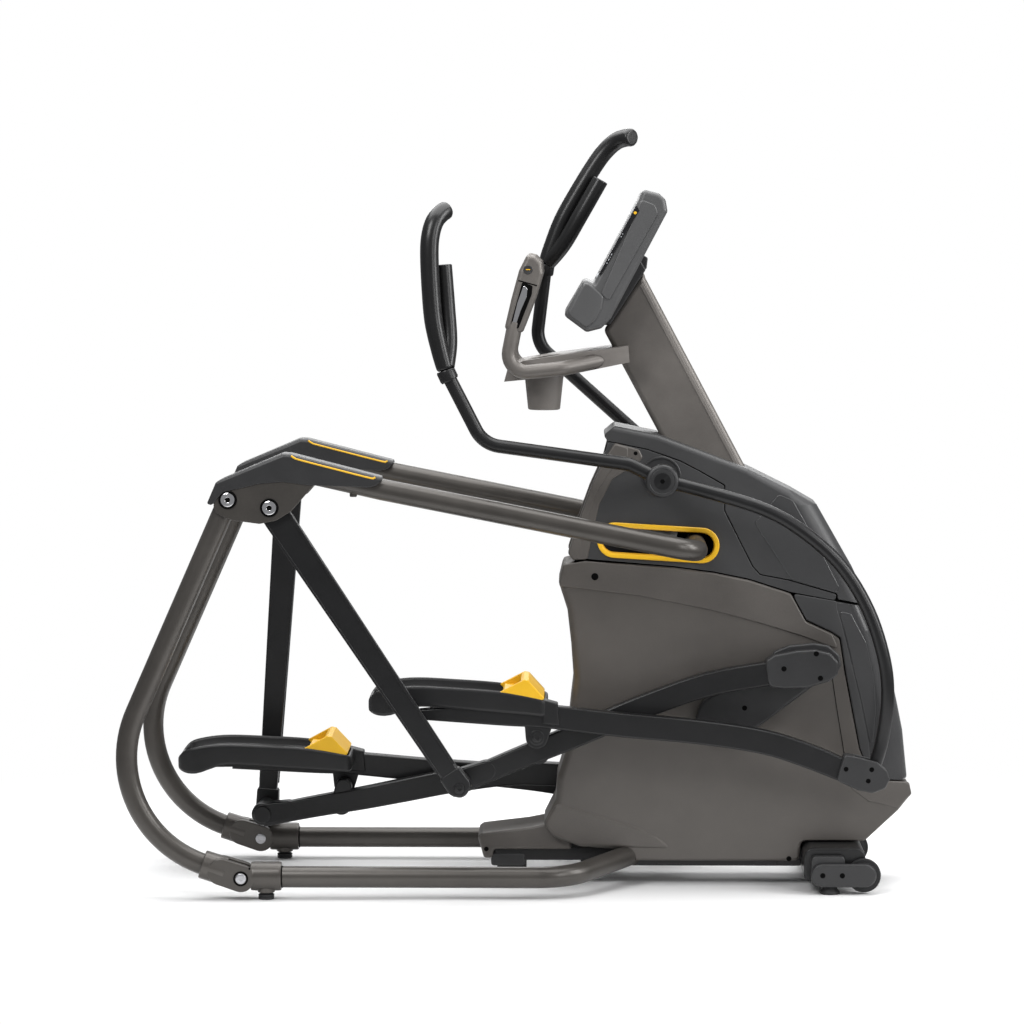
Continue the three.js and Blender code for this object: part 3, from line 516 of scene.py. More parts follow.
# The yellow moulding darkened for the slot's inner walls: painted shade.
SHADED_YELLOW = material("yellow_in_shade", (0.640, 0.330, 0.012), 0.45, mottle=0.06, grain=0.2)
RUBBER = material(
    "black_rubber", (0.0085, 0.0085, 0.0088), 0.30, coat=0.1, grain=0.08, grain_size=1.1,
    specular=0.4
)
TYRE = material("wheel_rubber", (0.016, 0.016, 0.017), 0.6, grain=0.5, grain_size=1.6)
CHROME = material("chrome", (0.80, 0.80, 0.82), 0.09, metallic=1.0, mottle=0.02, grain=0.03)
STEEL = material("zinc_steel", (0.50, 0.50, 0.52), 0.32, metallic=1.0, grain=0.15, brushed=True)
PEDAL = material(
    "pedal_moulding", (0.0115, 0.0115, 0.012), 0.36, grain=0.25, edge_highlight=0.08, specular=0.35
)
# Near-black: painted shade for the depth of screw holes, recesses, seam gaps and the incline slot; also the
# own colour of the black washers.
HOLE = material("hole_black", (0.0012, 0.0012, 0.0012), 0.9, grain=0.1, specular=0.1)
GLASS = material(
    "black_glass", (0.004, 0.004, 0.005), 0.05, coat=0.8, mottle=0.02, grain=0.0,
    coat_roughness=0.03
)
ICON = material("icon_white", (0.55, 0.57, 0.60), 0.3, mottle=0.02, grain=0.05)

for node_name, look in (
    ("drive_frame", BLACK), ("drive_pulley", STEEL), ("flywheel", STEEL), ("drive_belt", RUBBER),
    ("incline_actuator", DARK), ("upper_carriage", STEEL),
):
    NODES[node_name].data.materials.clear()
    NODES[node_name].data.materials.append(look)

# ---------------------------------------------------------------- small fittings


def socket_bolt(shape, at, y, sign, r, height, socket):
    """A domed round head with a round socket, whose face looks along Y away from the centre."""
    h = abs(y)
    profile = [
        (0, h - 0.5), (r, h - 0.5), (r, h + height * 0.45), (r * 0.93, h + height * 0.8),
        (r * 0.75, h + height),
        (socket * 1.15, h + height), (socket, h + height - 0.6), (socket, h + height * 0.25),
        (0, h + height * 0.2),
    ]
    return shape.lathe(profile, at, sign=sign)


def socket_hole(shape, at, y, sign, r):
    """A near-black dish that reads as a deep screw hole: its colour is painted shade."""
    h = abs(y)
    return shape.lathe(
        [(0, h - 1.5), (r, h - 1.5), (r, h + 0.5), (r * 0.84, h + 0.55), (r * 0.7, h + 0.15), (0, h + 0.1)],
        at, sign=sign, sides=20,
    )


# Screw holes as near-black dishes: painted shade.
def holes(name, body, places, y, sign, r=5.0):
    shape = Shape()
    for at in places:
        socket_hole(shape, at, y, sign, r)
    return piece(name, shape, body, HOLE)


# ---------------------------------------------------------------- base
TUBE_R = 25.0
FRAME_Y = 310.0
RUN = heading(HINGE, (-1006, 169))

for side, s in SIDES:
    run = [(-569, s * FRAME_Y, 52), (120, s * FRAME_Y, 52), (290, s * 49, 73)]
    base = Shape().tube(bent(run, 130, 16), TUBE_R, 32)
    sleeve = [(33, -620), (33.6, -617), (34, -612), (34, -556), (33, -550), (30, -549), (25.5, -549)]
    base.lathe([(0, -620), (31, -620)] + sleeve, (s * FRAME_Y, 54), axis="x")
    base.lathe(
        [(0, 16.4), (19, 16.4), (20.5, 19), (22.5, 40), (24, 60), (0, 60)], (-585, s * FRAME_Y), axis="z"
    )
    base.slab(stadium(HINGE, 21, plus(HINGE, (50, 1)), 21), s * 298, s * 322, 2)
    piece(f"{side}_base_rail", base, "frame", BRONZE, f"{side}_base_tube")
    piece(
        # A thin near-black ring where the sleeve meets the tube: painted shade in the seam.
        f"{side}_base_seam",
        Shape().lathe(
            [(25.2, -550), (26.2, -549.5), (26.2, -547), (25.2, -546.6)], (s * FRAME_Y, 52), axis="x"
        ),
        "frame", HOLE,
    )
    holes(f"{side}_clamp_screw", "frame", [(-608, 78)], s * 331, s, 2.6)
    rear = [
        (0, 0), (17, 0), (18.5, 1.5), (18.5, 6), (17.3, 7), (18.5, 8), (18.5, 11.5), (16, 13), (9.5, 13),
        (9, 16.2), (0, 16.2)
    ]
    piece(
        f"{side}_rear_level", Shape().lathe(rear, (-585, s * FRAME_Y), axis="z"), "frame", TYRE,
        f"{side}_rear_foot",
    )
    front = [(0, 0), (22, 0), (23.5, 1.5), (24, 4), (22.5, 7), (18, 13), (17, 18.5), (0, 18.5)]
    piece(
        f"{side}_front_level", Shape().lathe(front, (737, s * 216), axis="z"), "frame", TYRE,
        f"{side}_front_foot",
    )

beam_outline = Rounded([(677, 30), (677, 106), (822, 106), (822, 30)], (12, 24, 24, 12), 7)
stabiliser = Shape().slab(beam_outline, -206, 206, 5)
piece("stabiliser_beam", stabiliser, "frame", BLACK, "front_stabiliser")
for side, s in SIDES:
    cap = Shape().slab(stadium((719, 46.5), 27.5, (818, 46.5)), s * 228, s * 244, 5)
    cap.slab(Rounded([(693, 19), (693, 90), (772, 90), (772, 19)], 12), s * 200, s * 229, 3)
    cap.lathe([(0, 200), (9, 200), (9, 230), (0, 230)], (817, 44), sign=s)
    piece(f"{side}_stabiliser_cap", cap, "frame", DARK)
    holes(f"{side}_cap_holes", "frame", [(719, 47), (765, 47)], s * 244, s, 6.2)
    tread = [
        (8.2, 208), (30, 208), (31, 210), (34, 210), (38.4, 209), (40, 211.5), (40, 222.5), (38.4, 225),
        (34, 224), (31, 224), (30, 226), (8.2, 226)
    ]
    wheel = Shape().lathe(tread + [tread[0]], (817, 44), sign=s, sides=48)
    piece(f"{side}_transport_wheel", wheel, f"{side}_wheel", TYRE, f"{side}_wheel")

# ---------------------------------------------------------------- covers
LOWER = [
    (60, 146), (85, 115), (151, 91), (262, 86), (262, 60), (672, 60), (674, 109), (826, 109), (905, 183),
    (936, 222), (930, 250), (852, 256), (824, 300), (812, 330), (776, 514), (764, 592), (745, 606),
    (684, 634), (648, 700), (549, 732), (466, 749), (368, 762), (160, 779), (108, 771), (97, 726), (118, 660),
    (127, 581), (133, 496), (126, 436), (115, 325), (94, 257), (90, 205),
]
GROOVE = [(97, 716), (147, 711), (289, 694), (466, 659), (584, 627), (676, 598), (764, 566)]
UPPER = [
    (130, 781), (160, 782), (368, 765), (466, 752), (549, 735), (648, 703.5), (752, 684), (757, 698),
    (642, 731), (574, 744), (556, 764), (526, 823), (489, 896), (489, 956), (428, 991), (383, 1014),
    (306, 1041), (214, 1060), (203, 1018), (171, 947), (141, 864), (121, 795),
]
TOP = [
    (203, 1076), (229, 1098), (331, 1077), (427, 1041), (547, 995), (651, 944), (709, 911), (793, 764),
    (838, 670), (758, 686), (759, 700), (644, 733), (575, 746), (558, 765), (528, 824), (491, 897),
    (491, 958), (429, 993), (384, 1016), (306, 1043), (212, 1062),
]
FRONT = [
    (650, 701), (752, 682), (838, 668), (858, 622), (886, 518), (905, 430), (917, 370), (929, 252),
    (854, 258), (826, 301), (814, 331), (778, 515), (766, 594), (746, 608), (686, 636),
]


def top_edge(x, z):
    """Broad where the top shell turns to the front, tighter on top and fine at the seams."""
    if x > 716 and x - 716 >= (905 - z) * 0.5:
        return 44.0
    if z < 1083 - 0.36 * (x - 229):
        return 2.0
    return 26.0 if x > 600 else 14.0


def front_edge(x, z):
    return 46.0 if x > 845 and z > 260 else 2.0


SLOT_A, SLOT_B = (230, 827), (436, 814.5)


def slot_band(s, *places):
    """An open skin round the incline slot, through [reach from its centre line, distance out]."""
    return Shape().loft(
        [
            [(x, s * y, z) for x, z in stadium(SLOT_A, reach, SLOT_B, None, 20)] for reach, y in places
        ], caps=False
    )


# Flat facets on the covers: name, material, outline, corner radius, distance out and edge.
FACETS = (
    (
        "front_facet", GLOSS,
        [
            (761, 660), (791, 652), (827, 584), (847, 495), (851, 424), (845, 345), (838, 345), (816, 448),
            (770, 632)
        ],
        8, 110.6, 2.0,
    ),
    (
        "front_strip", COVER,
        [
            (652, 700), (756, 682), (758, 660), (768, 631), (814, 448), (835, 345), (838, 300), (828, 303),
            (815, 332), (779, 515), (767, 595), (747, 609), (687, 637)
        ],
        6, 109.8, 2.0,
    ),
    (
        "top_facet", GLOSS,
        [(561, 868), (648, 735), (757, 702), (762, 716), (706, 826), (652, 921), (618, 936)], 8, 109.4, 1.6
    ),
)

for side, s in SIDES:
    rear_round = lambda x, z: 20.0 if x < 140 else (8.0 if z < 100 else 3.5)
    lower = Shape().slab(Rounded(LOWER, 16, 4), s * 0.6, s * COVER_HALF, rear_round, 5, both=False)
    lip = GROOVE + [
        (745, 604), (684, 632), (648, 698), (549, 730), (466, 747), (368, 760), (160, 777), (109, 769)
    ]
    lower.slab(Rounded(lip, 8, 3), s * 104, s * 111.2, 3.2, 4, both=False)
    skirt = [
        (62, 146), (85, 117), (151, 93), (373, 88), (330, 122), (290, 141), (201, 168), (124, 191), (93, 199)
    ]
    lower.slab(Rounded(skirt, 20, 5), s * FACET_BACK, s * 112, 9.0, 5, both=False)
    piece(f"{side}_side_panel", lower, "frame", BRONZE_COVER, f"{side}_lower_cover")
    nose = Shape().slab(
        Rounded(
            [(790, 236), (834, 203), (905, 187), (937, 222), (931, 250), (852, 255.5), (826, 296)], 8
        ), s * FACET_BACK,
        s * 109.6, 4.0, 3, both=False,
    )
    piece(f"{side}_nose_panel", nose, "frame", BRONZE_COVER)
    # A thin near-black line along the front seam: painted shade in the seam.
    front_line = Shape().tube(
        [
            (x, s * COVER_HALF, z) for x, z in smooth([(747, 560), (748, 493), (777, 312), (788, 240)], 8)
        ], 0.9, 8
    )
    piece(f"{side}_front_line", front_line, "frame", HOLE)
    holes(f"{side}_plug", "frame", [(183, 740)], s * 111.2, s, 8.5)
    holes(f"{side}_skirt_screws", "frame", [(276, 66), (646, 66)], s * COVER_HALF, s, 6.0)

    # Upper panel with the incline slot cut through it.
    skin = bmesh.new()
    outer = [skin.verts.new((x * MM, s * COVER_HALF * MM, z * MM)) for x, z in Rounded(UPPER, 7, 3)]
    inner = [skin.verts.new((x * MM, s * COVER_HALF * MM, z * MM)) for x, z in stadium(SLOT_A, 30.6, SLOT_B)]
    for loop in (outer, inner):
        for a, b in zip(loop, loop[1:] + loop[:1]):
            if (a.co - b.co).length > 1e-6:
                skin.edges.new((a, b))
    bmesh.ops.triangle_fill(skin, use_beauty=True, use_dissolve=False, edges=skin.edges)
    skin_mesh = bpy.data.meshes.new(f"{side}_upper_panel")
    bmesh.ops.dissolve_limit(skin, angle_limit=0.01, verts=skin.verts, edges=skin.edges)
    skin.to_mesh(skin_mesh)
    skin.free()
    panel = placed(f"{side}_upper_panel", skin_mesh, "frame", COVER, [f"{side}_upper_cover"])
    thick = panel.modifiers.new("thickness", "SOLIDIFY")
    thick.thickness = 0.020
    thick.offset = -1.0 if (skin_mesh.polygons[0].normal.y * s) > 0 else 1.0
    edges = panel.modifiers.new("edges", "BEVEL")
    edges.width, edges.segments, edges.limit_method = 0.0025, 3, "ANGLE"
    edges.harden_normals = True
    skin_mesh.shade_smooth()

    strip = [
        (229, 1058), (203, 1018), (171, 947), (141, 864), (119, 795), (131, 779), (166, 781), (180, 853),
        (194, 912), (224, 971), (285, 1009), (297, 1022), (288, 1042),
    ]
    rear_strip = Shape().slab(Rounded(strip, 9, 3), s * 60, s * 110.8, 4.5, 4, both=False)
    ridge = [
        (229, 1056), (203, 1016), (171, 946), (143, 864), (122, 796), (132, 780), (143, 782), (160, 858),
        (189, 941), (229, 1003), (262, 1022), (262, 1046)
    ]
    rear_strip.slab(Rounded(ridge, 7, 3), s * 80, s * 112.6, 4.0, 4, both=False)
    piece(f"{side}_rear_strip", rear_strip, "frame", BRONZE_COVER)
    holes(f"{side}_strip_screw", "frame", [(279, 1033)], s * 110.8, s, 4.6)
    recess = Shape().lathe(
        [(24, 106), (48, 106), (48, 110), (46.5, 111.4), (43.5, 111.4), (41, 109.2), (24, 109.2), (24, 106)],
        PIVOT, sign=s, sides=48
    )
    piece(f"{side}_hub_recess", recess, "frame", DARK)

    trim = slot_band(s, (42, 109), (42, 113.6), (40.5, 115), (34, 115), (31, 113.6), (31, 108.2))
    piece(f"{side}_yellow_trim", trim, "frame", YELLOW, f"{side}_slot_trim", weighted=False)
    # The slot's inner walls in darker yellow: painted shade.
    inner_step = slot_band(s, (30.9, 110), (29.0, 106.5), (29.0, 97), (30.9, 97))
    piece(f"{side}_slot_step", inner_step, "frame", SHADED_YELLOW, weighted=False)

    for facet_name, look, outline, corner, far, edge in FACETS:
        facet = Shape().slab(Rounded(outline, corner), s * FACET_BACK, s * far, edge, 3, both=False)
        piece(f"{side}_{facet_name}", facet, "frame", look)

top = Shape().slab(Rounded(TOP, 8, 4), -COVER_HALF, COVER_HALF, top_edge, 6)
piece("top_shell", top, "frame", COVER, "top_cover")
front = Shape().slab(Rounded(FRONT, 9, 4), -COVER_HALF, COVER_HALF, front_edge, 6)
piece("front_shell", front, "frame", GLOSS, "front_cover")

spine = Shape().slab(
    Rounded(
        [
            (-96, 116), (-84, 124), (25, 137), (70, 146), (128, 152), (128, 84), (-56, 84), (-62, 63),
            (-81, 63)
        ],
        7, 4
    ), -92, 92, 7, 4
)
piece("spine_shell", spine, "frame", BRONZE_COVER, "spine_cover")
for side, s in SIDES:
    holes(f"{side}_spine_hole", "frame", [(-75, 85)], s * 92, s, 5.5)
    block = Shape().slab(Rounded([(-64, 74), (17, 74), (17, 44), (-64, 44)], 8, 4), s * 40, s * 88, 4)
    piece(f"{side}_spine_pad", block, "frame", DARK)

# Near-black sheets behind the seam gaps, painted shade seen through them, and the rails under the covers.
SEAMS = (
    [
        (648, 703, 11), (686, 636, 11), (747, 606, 11), (766, 592, 11), (779, 514, 11), (816, 331, 11),
        (832, 296, 11)
    ],
    [(135, 782, 8), (368, 765, 8), (549, 735, 8), (648, 704, 10), (756, 686, 10), (838, 669, 10)],
    [
        (214, 1055, 12), (306, 1039, 12), (428, 990, 12), (486, 954, 12), (490, 897, 12), (527, 824, 12),
        (574, 746, 12), (643, 733, 12), (757, 700, 12)
    ],
)
for side, s in SIDES:
    shade_sheet = Shape()
    for seam in SEAMS:
        shade_sheet.slab(band(seam), s * 40, s * 101, 2)
    piece(f"{side}_seam_backing", shade_sheet, "frame", HOLE)
    rail = Shape().slab(Rounded([(150, 62), (676, 62), (676, 45), (150, 45)], 4, 3), s * 46, s * 86, 2)
    for x in (330, 560):
        rail.slab(Rounded([(x, 60), (x + 62, 60), (x + 56, 50), (x + 6, 50)], 3, 3), s * 84, s * 94, 2)
    piece(f"{side}_under_rail", rail, "frame", BLACK)

# ---------------------------------------------------------------- mast and console
MAST = [(204.2, 1320.6), (298, 1461), (302, 1447), (556, 969), (395, 966)]
piece(
    "mast_body", Shape().slab(Rounded(MAST, (14, 10, 14, 4, 4)), -48, 48, 13, 5), "frame", MAST_PAINT, "mast"
)
mast_way = heading((302, 1447), (556, 969))
# A raised strip along the mast's front edge on both faces, lighter than the mast: a painted highlight.
mast_strip = band([(*plus((300, 1436), polar(d, mast_way)), 4.5) for d in (0, 130, 260, 390, 520)])
mast_highlight_strip = Shape()
for _, s in SIDES:
    mast_highlight_strip.slab([plus(p, polar(-9, mast_way + math.pi / 2)) for p in mast_strip], s * 40, s * 49.4, 1.5)
piece("mast_highlight_strip", mast_highlight_strip, "frame", TRAY)

CONSOLE = [
    (294, 1656), (332, 1646), (347, 1632), (352, 1604), (296, 1498), (219, 1352), (197, 1330), (162, 1321),
    (108, 1361), (158, 1447), (178, 1433), (285, 1633),
]
shell = Shape().slab(Rounded(CONSOLE, 12, 4), -180, 180, 11, 5)
piece("console_shell", shell, "frame", GREY, "console_housing")
FACE_FOOT = (177, 1429)
FACE = heading(FACE_FOOT, (286, 1630))
face_point = lambda p: plus(FACE_FOOT, turned(p, FACE))
cheek = [(290, 1632), (322, 1620), (330, 1600), (214, 1392), (196, 1412)]
pod = [(158, 1441), (178, 1428), (203, 1405), (198, 1376), (186, 1352), (162, 1330), (116, 1364)]
for side, s in SIDES:
    side_panel = Shape().slab(Rounded(cheek, 10, 4), s * 170, s * 183.2, 3.0, 4, both=False)
    piece(f"{side}_console_cheek", side_panel, "frame", GREY)
    ear = Shape().slab(Rounded(pod, 12, 4), s * 150, s * 184.2, 5.0, 4, both=False)
    piece(f"{side}_console_pod", ear, "frame", GREY)
    sliver = [face_point(q) for q in ((28, 1), (216, 1), (208, -11), (40, -3))]
    glass_edge = Shape().slab(Rounded(sliver, 2, 3), s * 170, s * 184.4, 0.6)
    piece(f"{side}_glass_edge", glass_edge, "frame", GLASS)
    marks = Shape()
    for along, length in ((62, 3), (70, 5), (78, 2.4), (84, 4), (132, 3), (140, 2.4)):
        dash = [face_point(q) for q in (
            (along, -2.2), (along + length, -2.2), (along + length, -3.6), (along, -3.6))]
        marks.slab(dash, s * 184.2, s * 184.9, 0.2)
    piece(f"{side}_glass_marks", marks, "frame", ICON)
    dot = Shape().slab(disc(face_point((198, -5)), 3.6, 16), s * 184.2, s * 185.2, 0.3)
    piece(f"{side}_glass_dot", dot, "frame", YELLOW)
bracket = Shape().slab(Rounded([(284, 1500), (303, 1466), (218, 1334), (192, 1336)], 6), -62, 62, 4)
bracket.slab(Rounded([(288, 1506), (308, 1494), (305, 1468), (293, 1462)], 5), -50, 50, 3)
piece("console_bracket", bracket, "frame", DARK)


def on_face(along, out, y):
    """A point on the console's face: along it, standing out of it, and across it."""
    x, z = face_point((along, out))
    return (x, y, z)


def tile(shape, along, y, long, wide, out0, out1, corner=3.0):
    """A flat rounded tile on the console's face."""
    corners = [
        (along - long / 2, y - wide / 2), (along + long / 2, y - wide / 2), (along + long / 2, y + wide / 2),
        (along - long / 2, y + wide / 2)
    ]
    ring = Rounded(corners, corner, 4)
    small = inset(ring, 0.5)
    shape.loft(
        [
            [on_face(a, out0, b) for a, b in ring], [on_face(a, out1 - 0.3, b) for a, b in ring],
            [on_face(a, out1, b) for a, b in small]
        ]
    )


screen = Shape()
tile(screen, 112, 0, 212, 342, -9, 1.2, 9)
piece("screen_glass", screen, "frame", GLASS, "console_screen")
icons = Shape()
for k in range(5):
    tile(icons, 26, -96 + 48 * k, 9, 26, 0.9, 1.45, 3)
for k in range(3):
    tile(icons, 168 - 22 * k, -60, 6, 120 - 30 * k, 0.9, 1.45, 2)
piece("screen_icons", icons, "frame", ICON)
lamp = Shape()
tile(lamp, 206, -160, 7, 12, 0.9, 1.8, 3)
piece("screen_lamp", lamp, "frame", YELLOW)

piece(
    "cup_shell",
    Shape().lathe(
        [
            (0, 1134), (34, 1134), (37.5, 1135.5), (38.4, 1139), (45.5, 1208), (46.5, 1212), (46.5, 1234),
            (45, 1236), (41.5, 1236), (40, 1234), (39.6, 1212), (34, 1140), (31, 1138.5), (0, 1138.5)
        ],
        (62, -62), axis="z", sides=40,
    ),
    "frame", TRAY, "bottle_cup",
)
dressed("accessory_tray", "tray_shell", "frame", TRAY, 1.6, 2)

BAR_Y = 171
bar_half = lambda s: [
    (-6, s * BAR_Y, 1345), (-30, s * BAR_Y, 1222), (105, s * BAR_Y, 1236), (218, s * 100, 1257)
]
grip_bar = Shape().tube(bent(bar_half(-1) + bar_half(1)[::-1], 42, 10), 17, 28)
POD = [
    (23, 1504), (42, 1500), (58, 1484), (61, 1458), (44, 1400), (14, 1322), (-8, 1316), (-30, 1331),
    (-14, 1400), (4, 1466)
]
for _, s in SIDES:
    grip_bar.slab(Rounded(POD, 10, 4), s * 156, s * 186, 11, 6)
piece("fixed_bar", grip_bar, "frame", MAST_PAINT, "fixed_handlebar")
for side, s in SIDES:
    # A near-black patch round the pulse plate, standing for its recess: painted shade.
    dark = [(-16, 1340), (2, 1328), (34, 1410), (36, 1430), (12, 1440)]
    recess = Shape().slab(Rounded(dark, 5, 4), s * 185, s * 186.4, 0.5)
    piece(f"{side}_pulse_recess", recess, "frame", HOLE)
    plate = [(-12, 1341), (-4, 1336), (8, 1372), (22, 1404), (24, 1424), (15, 1432), (0, 1390)]
    sensor = Shape().slab(Rounded(plate, 5, 4), s * 185, s * 187, 1.0)
    piece(f"{side}_pulse_plate", sensor, "frame", CHROME)
    # A thin near-black line on the pod: painted shade in its seam.
    seam = Shape().slab(Rounded([(2, 1441), (46, 1429), (47, 1432), (3, 1444)], 1), s * 184, s * 186.3, 0.5)
    piece(f"{side}_pod_seam", seam, "frame", HOLE)
    name = "incline" if s < 0 else "resistance"
    knob = Shape().lathe(
        [(0, 181), (11, 181), (11, 186.6), (9.8, 188), (6, 187.4), (0, 187.2)], (25, 1468), sign=s
    )
    piece(f"{name}_key", knob, f"{name}_button", DARK, f"{name}_button")
    mark = Shape().slab(
        Rounded([(20, 1467), (30, 1467), (30, 1469.4), (20, 1469.4)], 1), s * 186.8, s * 188, 0.3
    )
    piece(f"{name}_key_mark", mark, f"{name}_button", YELLOW)

# ---------------------------------------------------------------- incline frame
BRACKET = [
    (-702, 924), (-697, 909), (-680, 898), (-656, 890), (-595, 882), (-556, 890), (-522, 911), (-494, 943),
    (-462, 980), (-540, 1020), (-600, 1004), (-690, 966),
]
CAP = [
    (-717, 929), (-696, 978), (-680, 987), (-541, 1046), (-523, 1045), (-312, 991), (-311, 984), (-323, 972),
    (-342, 967), (-479, 972), (-541, 980), (-597, 975), (-659, 960), (-690, 943), (-699, 930), (-708, 926),
]


def cap_edge(x, z):
    if z > 1000 and x > -640:
        return 9.5
    return 4.5 if z > 935 and (x < -640 or z > 984) else 2.5


for side, s in SIDES:
    on_plane = lambda p: (p[0], s * FRAME_Y, p[1])
    corner = (-1006, 169)
    path = bent([on_plane(UPRIGHT_TOP), on_plane(corner), on_plane(plus(HINGE, polar(60, RUN)))], 264, 28)
    upright = Shape().tube(path, TUBE_R, 32)
    collar = [on_plane(plus(HINGE, polar(d, RUN))) for d in (97, 95, 42)]
    upright.tube(collar, [31.5, 33.5, 34], 32)
    for near, far in ((277, 297), (323, 343)):
        upright.slab(stadium(HINGE, 32, plus(HINGE, polar(50, RUN)), 31), s * near, s * far, 3)
    upright.lathe([(0, 284), (26, 284), (27, 285), (27, 335), (26, 336), (0, 336)], UPRIGHT_TOP, sign=s)
    piece(f"{side}_upright_tube", upright, "rear_uprights", BRONZE, f"{side}_rear_upright")
    # A near-black ring round the hinge bolt, standing for its recess: painted shade.
    ring = Shape().lathe(
        [(0, 340), (17.5, 340), (17.5, 344.2), (14.5, 344.4), (13.5, 342.8), (0, 342.8)], HINGE, sign=s
    )
    piece(f"{side}_hinge_recess", ring, "rear_uprights", HOLE)
    bolt = socket_bolt(Shape(), HINGE, 343, s, 12.5, 3.2, 4.6)
    bolt.lathe(
        [(0, 280), (12.5, 280), (12.5, 274), (11, 273), (5, 273), (4.6, 274.6), (0, 274.6)], HINGE, sign=s
    )
    piece(f"{side}_hinge_bolt", bolt, "rear_uprights", STEEL)
    holes(f"{side}_hinge_screw", "rear_uprights", [(-622, 76)], s * 342.8, s, 2.4)

    run = [on_plane((-520, 1007)), on_plane((-313, 960)), on_plane(ELBOW), (ELBOW[0], s * 24, ELBOW[1])]
    upper = Shape().tube(bent(run, 60, 14), TUBE_R, 32)
    for near, far in ((276.5, 282.5), (337.5, 343.5)):
        upper.slab(Rounded(BRACKET, 14, 5), s * near, s * far, 1.6)
    upper.slab(stadium((-640, 984), 9, (-500, 1004)), s * 277, s * 343, 2)
    upper.lathe(
        [(0, 943), (7, 943), (8.5, 945), (8.5, 953), (0, 953)], (-379, s * FRAME_Y), axis="z", sides=20
    )
    piece(f"{side}_upper_bar", upper, "upper_frame", BRONZE, f"{side}_upper_tube")
    # A near-black disc inside the incline slot: painted shade for the slot's depth.
    shade_disc = Shape().slab(disc(plus(ELBOW, (0, 6)), 41, 40), s * 26, s * 29, 0.8)
    piece(f"{side}_slot_shield", shade_disc, "upper_frame", HOLE)
    cap = Shape().slab(Rounded(CAP, 5, 3), s * 273, s * 347, cap_edge, 3)
    piece(f"{side}_cap_shell", cap, "upper_frame", DARK, f"{side}_apex_cap")
    for near_name, y in (("outer", 345.7), ("inner", 274.3)):
        line = [
            (-521, 1043.5), (-512, 1037.5), (-500, 1033.5), (-421, 1013), (-340, 992.5), (-331, 991.5),
            (-326, 994)
        ]
        piping = Shape().tube([(x, s * y, z - 3) for x, z in smooth(line, 5)], 2.3, 10)
        piece(f"{side}_{near_name}_piping", piping, "upper_frame", YELLOW)
    for bolt_name, at, body in (
        ("upright", UPRIGHT_TOP, "rear_uprights"), ("hanger", HANGER_TOP, f"{side}_hanger_top_pin")
    ):
        washer = Shape().lathe(
            [(0, 343.9), (21.5, 343.9), (21.5, 346), (20, 347), (18.2, 347), (17.4, 345), (0, 345)], at,
            sign=s
        )
        washer.lathe([(0, 276), (19, 276), (19, 272), (17, 271), (0, 271)], at, sign=s)
        head = socket_bolt(Shape(), at, 345, s, 17.2, 6.4, 6.2)
        stands_for = []
        if bolt_name == "hanger":
            stands_for = [f"{side}_hanger_top_pin"]
            head.lathe([(0, 283), (11, 283), (11, 337), (0, 337)], at, sign=s)
            for near, far in ((283, 291.5), (328.5, 337)):
                head.lathe([(11, near), (17, near), (17, far), (11, far)], at, sign=s)
        piece(f"{side}_{bolt_name}_bolt", head, body, CHROME, *stands_for)
        holes(f"{side}_{bolt_name}_socket", body, [at], s * 349.4, s, 6.4)
        piece(f"{side}_{bolt_name}_washer", washer, body, HOLE)

# ---------------------------------------------------------------- hung linkage
right_low = LINKS["right"]["beam"][0]
right_front = LINKS["right"]["arm"][0]
BEAM_LINE = [
    (0, -8, 24), (110, 40, 25), (235, 91, 27), (333, 133, 28), (440, 178, 28), (579, 227, 28), (719, 253, 28),
    (812, 264, 27),
]
ARM_LINE = [
    (-1060, 146, 12), (-960, 147, 20), (-860, 146, 26), (-760, 141, 27), (-588, 122, 28), (-404, 105, 28),
    (-248, 81, 28), (-131, 43, 28), (-50, 8, 26),
]
BEAM_CAP = [
    (584, 549), (604, 562), (656, 572), (700, 575), (738, 566), (757, 545), (755, 516), (735, 500),
    (682, 484), (630, 482), (596, 486), (590, 500),
]
BEAM_CAP_BACK = [
    (600, 566), (640, 582), (700, 588), (735, 582), (760, 560), (765, 535), (752, 512), (700, 500), (610, 520)
]
ARM_CAP = [
    (768, 333), (800, 328), (846, 316), (868, 296), (875, 276), (864, 254), (834, 243), (800, 250),
    (750, 273), (757, 300)
]
TOE_CHEEK = [(-44, 478), (16, 509), (27, 507), (66, 464), (40, 452), (-30, 464)]
TOE_BRIDGE = [(6, 503), (16, 509), (27, 507), (66, 464), (56, 460), (22, 496)]
TOE_LEDGE = [(-36, 472), (-30, 480), (6, 478), (10, 466)]
PEDAL_TOP = [
    (-352, 455), (-346, 468), (-322, 483), (-251, 493), (-149, 489), (-35, 480), (66, 461), (72, 458)
]
PEDAL_LOW = [
    (-352, 431), (-328, 424), (-299, 424), (-262, 436), (-221, 445), (-100, 436), (0, 428), (72, 421)
]


def height_on(line, x):
    for (x0, z0), (x1, z1) in zip(line, line[1:]):
        if x <= x1:
            t = min(max((x - x0) / (x1 - x0), 0), 1)
            return z0 + (z1 - z0) * t
    return line[-1][1]


PEDAL_TOP_CURVE, PEDAL_LOW_CURVE = smooth(PEDAL_TOP, 8), smooth(PEDAL_LOW, 8)


